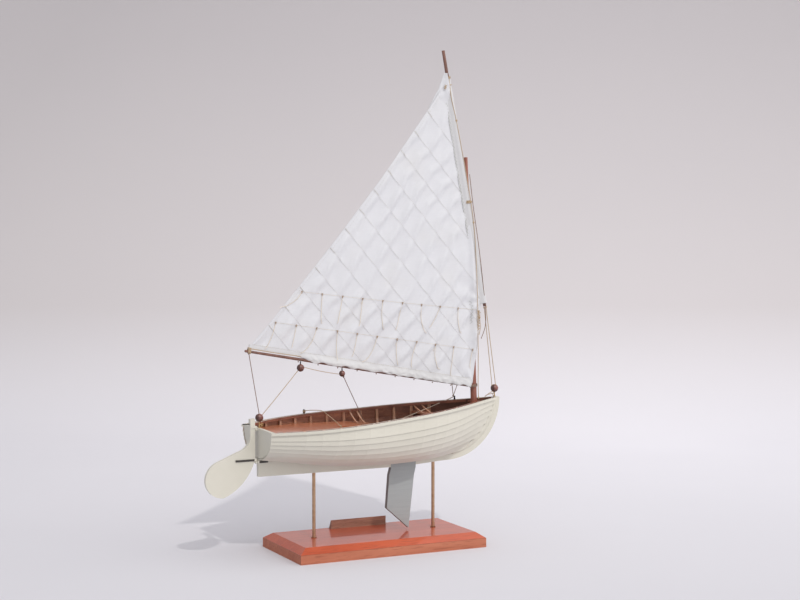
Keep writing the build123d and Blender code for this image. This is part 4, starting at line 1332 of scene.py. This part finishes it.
class DINGHY_OT_lashings(bpy.types.Operator):
    """Winds the lashings that hold the yard and boom to the mast and the sail to its spars"""
    bl_idname = "dinghy.lashings"
    bl_label = "Wind the lashings"

    def execute(self, context):
        finishes()
        radius = context.scene.dinghy_lines.lashing / MM / 2
        mast_axis = Vector((MAST_HEAD.x - MAST_DECK.x, 0, MAST_HEAD.y - MAST_DECK.y)).normalized()
        crossing = self.on_spar(YARD_HEEL, YARD_PEAK, PARREL_Z)
        mast_here = self.on_spar(MAST_DECK, MAST_HEAD, PARREL_Z)
        parrel = turns_round([(mast_here.x, 0, PARREL_Z), (crossing.x, RIG_SIDE, PARREL_Z)],
                             [3.0 + radius, 3.5 + radius], mast_axis, (0, 1, 0), 4.0, radius * 2.1)
        wound = threads("parrel_lashing", [parrel, knot((crossing.x + 3.4, RIG_SIDE - 2.4, PARREL_Z), 1.0)],
                        radius, "line", RIG)
        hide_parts("parrel")
        mast_low = self.on_spar(MAST_DECK, MAST_HEAD, COLLAR_Z)
        collar = turns_round([(mast_low.x, 0, COLLAR_Z), (BOOM_FORE.x - 1.2, RIG_SIDE, COLLAR_Z)],
                             [4.35 + radius, 1.9 + radius], mast_axis, (0, 1, 0), 4.0, radius * 2.1)
        wound = threads("boom_lashing", [collar, knot((BOOM_FORE.x - 2, RIG_SIDE - 2.6, COLLAR_Z), 0.9)],
                        radius, "brown_line", RIG)
        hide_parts("boom_collar")
        threads("sail_lashings", self.corner_turns(radius), radius, "line", RIG)
        threads("foot_ties", self.foot_ties(), radius * 0.5, "brown_line", RIG, sides=6)
        return {"FINISHED"}

    def on_spar(self, low, high, z):
        return low.lerp(high, (z - low.y) / (high.y - low.y))

    def corner_turns(self, radius):
        """Turns at the peak and the clew."""
        yard = Vector((YARD_ALONG.x, 0, YARD_ALONG.y))
        boom = Vector((BOOM_ALONG.x, 0, BOOM_ALONG.y))
        runs = []
        for distance, reach, turns in ((293.0, 3.4, 3.0), (284.0, 3.7, 1.5)):
            spot = YARD_HEEL + YARD_ALONG * distance
            runs.append(turns_round([beside_rig(spot, 0)], [reach], yard, (0, 1, 0), turns, radius * 2.2))
        runs.append(knot(beside_rig(YARD_HEEL + YARD_ALONG * 293.0, -3.8), 0.9))
        spot = BOOM_AFT + BOOM_ALONG * 5.5
        runs.append(turns_round([(spot.x, RIG_SIDE, spot.y), (spot.x + 0.6, RIG_SIDE, spot.y + 3.4)],
                                [1.7 + radius, 1.0 + radius], boom, (0, 1, 0), 4.0, radius * 2.2))
        bundle = [(94.0 + zigzag(k, 1.4) - 0.2 * k, RIG_SIDE - 4.4, 577.0 - 1.0 * k) for k in range(6)]
        runs.append(eased(bundle, 4))
        runs.append(straight((-166.0, RIG_SIDE - 1.3, 254.6), (-102.0, RIG_SIDE - 1.6, 243.2), 0.4))
        return runs

    def foot_ties(self):
        """Small knots where the foot of the sail is tied under the boom."""
        spots = [BOOM_AFT + BOOM_ALONG * (70.0 + 26.5 * k) - BOOM_UP * 2.9 for k in range(9)]
        return [knot(beside_rig(spot, -0.9), 0.6) for spot in spots]


class DINGHY_OT_rigging(bpy.types.Operator):
    """Leads the running lines between the rig, the beads and the hull"""
    bl_idname = "dinghy.rigging"
    bl_label = "Lead the lines"

    def execute(self, context):
        finishes()
        radius = context.scene.dinghy_lines.sheet_line / MM / 2
        boom_end = (-168.5, RIG_SIDE, 249.2)
        stern, bow = (-152.6, 0, 172.6), (170.9, 0, 193.0)
        bead_aft, bead_fore = (-101.9, RIG_SIDE, 229.6), (-46.8, RIG_SIDE, 219.6)
        self.lead("sheet_from_boom_end", boom_end, (stern[0] - 0.6, -1.2, stern[2]), radius, "brown_line")
        self.lead("sheet_from_aft_bead", (bead_aft[0] - 2.4, RIG_SIDE, bead_aft[2] - 2.6),
                  (stern[0] + 2.2, -0.6, stern[2]), radius, "line")
        self.lead("sheet_from_fore_bead", (bead_fore[0] + 2.0, RIG_SIDE, bead_fore[2] - 3.4),
                  (9.0, 51.0, 152.6), radius, "brown_line")
        between = straight((bead_aft[0] + 3.6, RIG_SIDE - 0.2, bead_aft[2] + 0.4),
                           (bead_fore[0] - 3.7, RIG_SIDE - 0.2, bead_fore[2] - 0.2), 0.8)
        threads("sheet_between_beads", [between], radius * 0.85, "line", RIG)
        heel = (153.4, RIG_SIDE, 297.2)
        self.lead("bow_line_outer", (heel[0] + 0.6, heel[1] - 1.0, heel[2]),
                  (bow[0] + 0.9, -1.4, bow[2] + 2.6), radius, "line")
        self.lead("bow_line_inner", (heel[0] - 0.8, heel[1] + 1.0, heel[2] - 1.0),
                  (bow[0] - 3.0, 1.0, bow[2] + 2.0), radius, "line")
        for label, x in (("aft", 106.2), ("fore", 113.6)):
            self.lead("downhaul_" + label, (x, RIG_SIDE + 1.0, 200.4 - (x - 106) * 0.18),
                      (126.9, 30.6, 180.6), radius, "line")
        self.halyard(radius)
        self.loose_ends(radius)
        return {"FINISHED"}

    def lead(self, name, rig_end, hull_end, radius, finish):
        """A taut line from the rig to the hull, tied at both ends."""
        ties = [straight(rig_end, hull_end, 0.3, 28), knot(rig_end, 0.8), knot(hull_end, 0.8)]
        piece = threads(name, ties, radius, finish, None)
        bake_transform(piece)

    def clear_of_cloth(self, places):
        """The places, with any that would lie in the cloth moved out to starboard of it."""
        return [(x, min(y, cloth_side(x, z) - 0.9), z) for x, y, z in places]

    def halyard(self, radius):
        """From the peak down the fore side of the sleeve, over the sail and down to the deck."""
        upper = [(98.4, -10.2, 588.0), (102.4, -10.4, 560.0), (109.6, -9.9, 533.0), (117.4, -9.7, 497.0),
                 (123.6, -10.2, 467.0), (134.4, -10.4, 405.0), (138.3, -10.6, 350.0), (139.4, -10.4, 300.0),
                 (140.2, -10.2, 262.0), (141.9, -9.4, 236.0)]
        lower = [(141.9, -9.4, 236.0), (143.0, -7.4, 214.0), (144.2, -5.2, 196.0), (145.2, -4.4, 180.8)]
        upper = self.clear_of_cloth(upper)
        threads("halyard_upper", [eased(upper), knot(upper[2], 1.0), knot(upper[5], 0.9)], radius,
                "line", RIG)
        piece = threads("halyard_fall", [eased(lower), knot(lower[-1], 0.9)], radius, "line", None)
        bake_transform(piece)
        yard_side = [(128.6, -9.8, 466.0), (133.8, -10.0, 426.0), (142.6, -10.2, 370.0), (150.4, -9.8, 312.0)]
        luff = [(141.6, -10.2, 292.0), (143.0, -10.6, 284.0), (144.6, -10.2, 272.0), (143.0, -9.8, 262.0)]
        luff = self.clear_of_cloth(luff)
        bundle = []
        for k in range(15):
            x, z = 143.4 + (2.2 if k % 2 else -1.6) - 0.22 * k, 292.0 - 1.7 * k
            bundle.append((x, cloth_side(x, z) - 0.9 - 0.6 * (k % 2), z))
        threads("luff_line", [eased(luff), eased(bundle, 4), knot(luff[0], 1.3), knot(luff[1], 1.2)],
                radius * 0.8, "line", RIG)
        threads("yard_line", [eased(yard_side)], radius, "brown_line", RIG)
        tail = [(152.4, -8.4, 296.0), (152.9, -9.2, 282.0), (151.2, -9.6, 270.0), (146.0, -9.8, 257.0)]
        threads("heel_tail", [eased(tail)], radius, "brown_line", RIG)

    def loose_ends(self, radius):
        """Lines that lie inside the hull and at the stem."""
        belay = [(-61.4, 76.6, 165.6), (-60.2, 72.0, 166.8), (-57.0, 65.6, 167.6), (-52.0, 58.5, 168.0),
                 (-47.0, 54.0, 167.2), (-43.5, 45.0, 163.0), (-42.0, 30.0, 158.5), (-41.5, 9.0, 152.6)]
        stem = [(169.8, -1.6, 185.6), (166.2, -2.4, 187.4), (161.0, -1.6, 184.6), (157.6, 0.6, 181.4),
                (161.2, 2.2, 183.0), (167.0, 1.6, 184.4), (169.6, 0.6, 184.6)]
        turns = turns_round([(PIN.x, PIN.y, PIN.z)], [1.5], (0, 0, 1), (1, 0, 0), 3.0, 0.9)
        threads("loose_lines", [eased(belay), eased(stem), turns, knot((-41.5, 9.0, 152.8), 0.9)],
                radius, "line", BOAT)
        inside = straight((41.0, 26.0, 152.4), (126.9, 30.8, 179.0), 0.5)
        threads("inside_line", [inside], radius * 1.25, "knot_line", BOAT)


PIECES = (("dinghy.stage", "Stage"), ("dinghy.finish_hull", "Hull"),
          ("dinghy.finish_plinth", "Plinth"), ("dinghy.finish_spars", "Spars and fittings"),
          ("dinghy.sail", "Sail"), ("dinghy.stitching", "Stitching"),
          ("dinghy.reef_points", "Reef points"), ("dinghy.lashings", "Lashings"),
          ("dinghy.rigging", "Lines"))


class DINGHY_PT_panel(bpy.types.Panel):
    """Lists the pieces of the dressing"""
    bl_label = "Dinghy"
    bl_idname = "DINGHY_PT_panel"
    bl_space_type = "VIEW_3D"
    bl_region_type = "UI"
    bl_category = "Dinghy"

    def draw(self, context):
        for idname, label in PIECES:
            self.layout.operator(idname, text=label)
        for group in ("dinghy_stage", "dinghy_finish", "dinghy_sail", "dinghy_lines"):
            settings = getattr(context.scene, group)
            for name in settings.bl_rna.properties.keys():
                if name not in ("rna_type", "name"):
                    self.layout.prop(settings, name)


CLASSES = (DinghyStageSettings, DinghyFinishSettings, DinghySailSettings, DinghyLineSettings, DINGHY_OT_stage,
           DINGHY_OT_finish_hull, DINGHY_OT_finish_plinth, DINGHY_OT_finish_spars, DINGHY_OT_sail,
           DINGHY_OT_stitching, DINGHY_OT_reef_points, DINGHY_OT_lashings, DINGHY_OT_rigging, DINGHY_PT_panel)
GROUPS = {"dinghy_stage": DinghyStageSettings, "dinghy_finish": DinghyFinishSettings,
          "dinghy_sail": DinghySailSettings, "dinghy_lines": DinghyLineSettings}


def register():
    for cls in CLASSES:
        bpy.utils.register_class(cls)
    for name, settings in GROUPS.items():
        setattr(bpy.types.Scene, name, bpy.props.PointerProperty(type=settings))


def unregister():
    for name in GROUPS:
        delattr(bpy.types.Scene, name)
    for cls in reversed(CLASSES):
        bpy.utils.unregister_class(cls)


def main():
    register()
    bpy.ops.dinghy.stage()
    bpy.ops.dinghy.finish_hull()
    bpy.ops.dinghy.finish_plinth()
    bpy.ops.dinghy.finish_spars()
    bpy.ops.dinghy.sail()
    bpy.ops.dinghy.stitching()
    bpy.ops.dinghy.reef_points()
    bpy.ops.dinghy.lashings()
    bpy.ops.dinghy.rigging()


if __name__ == "__main__":
    main()
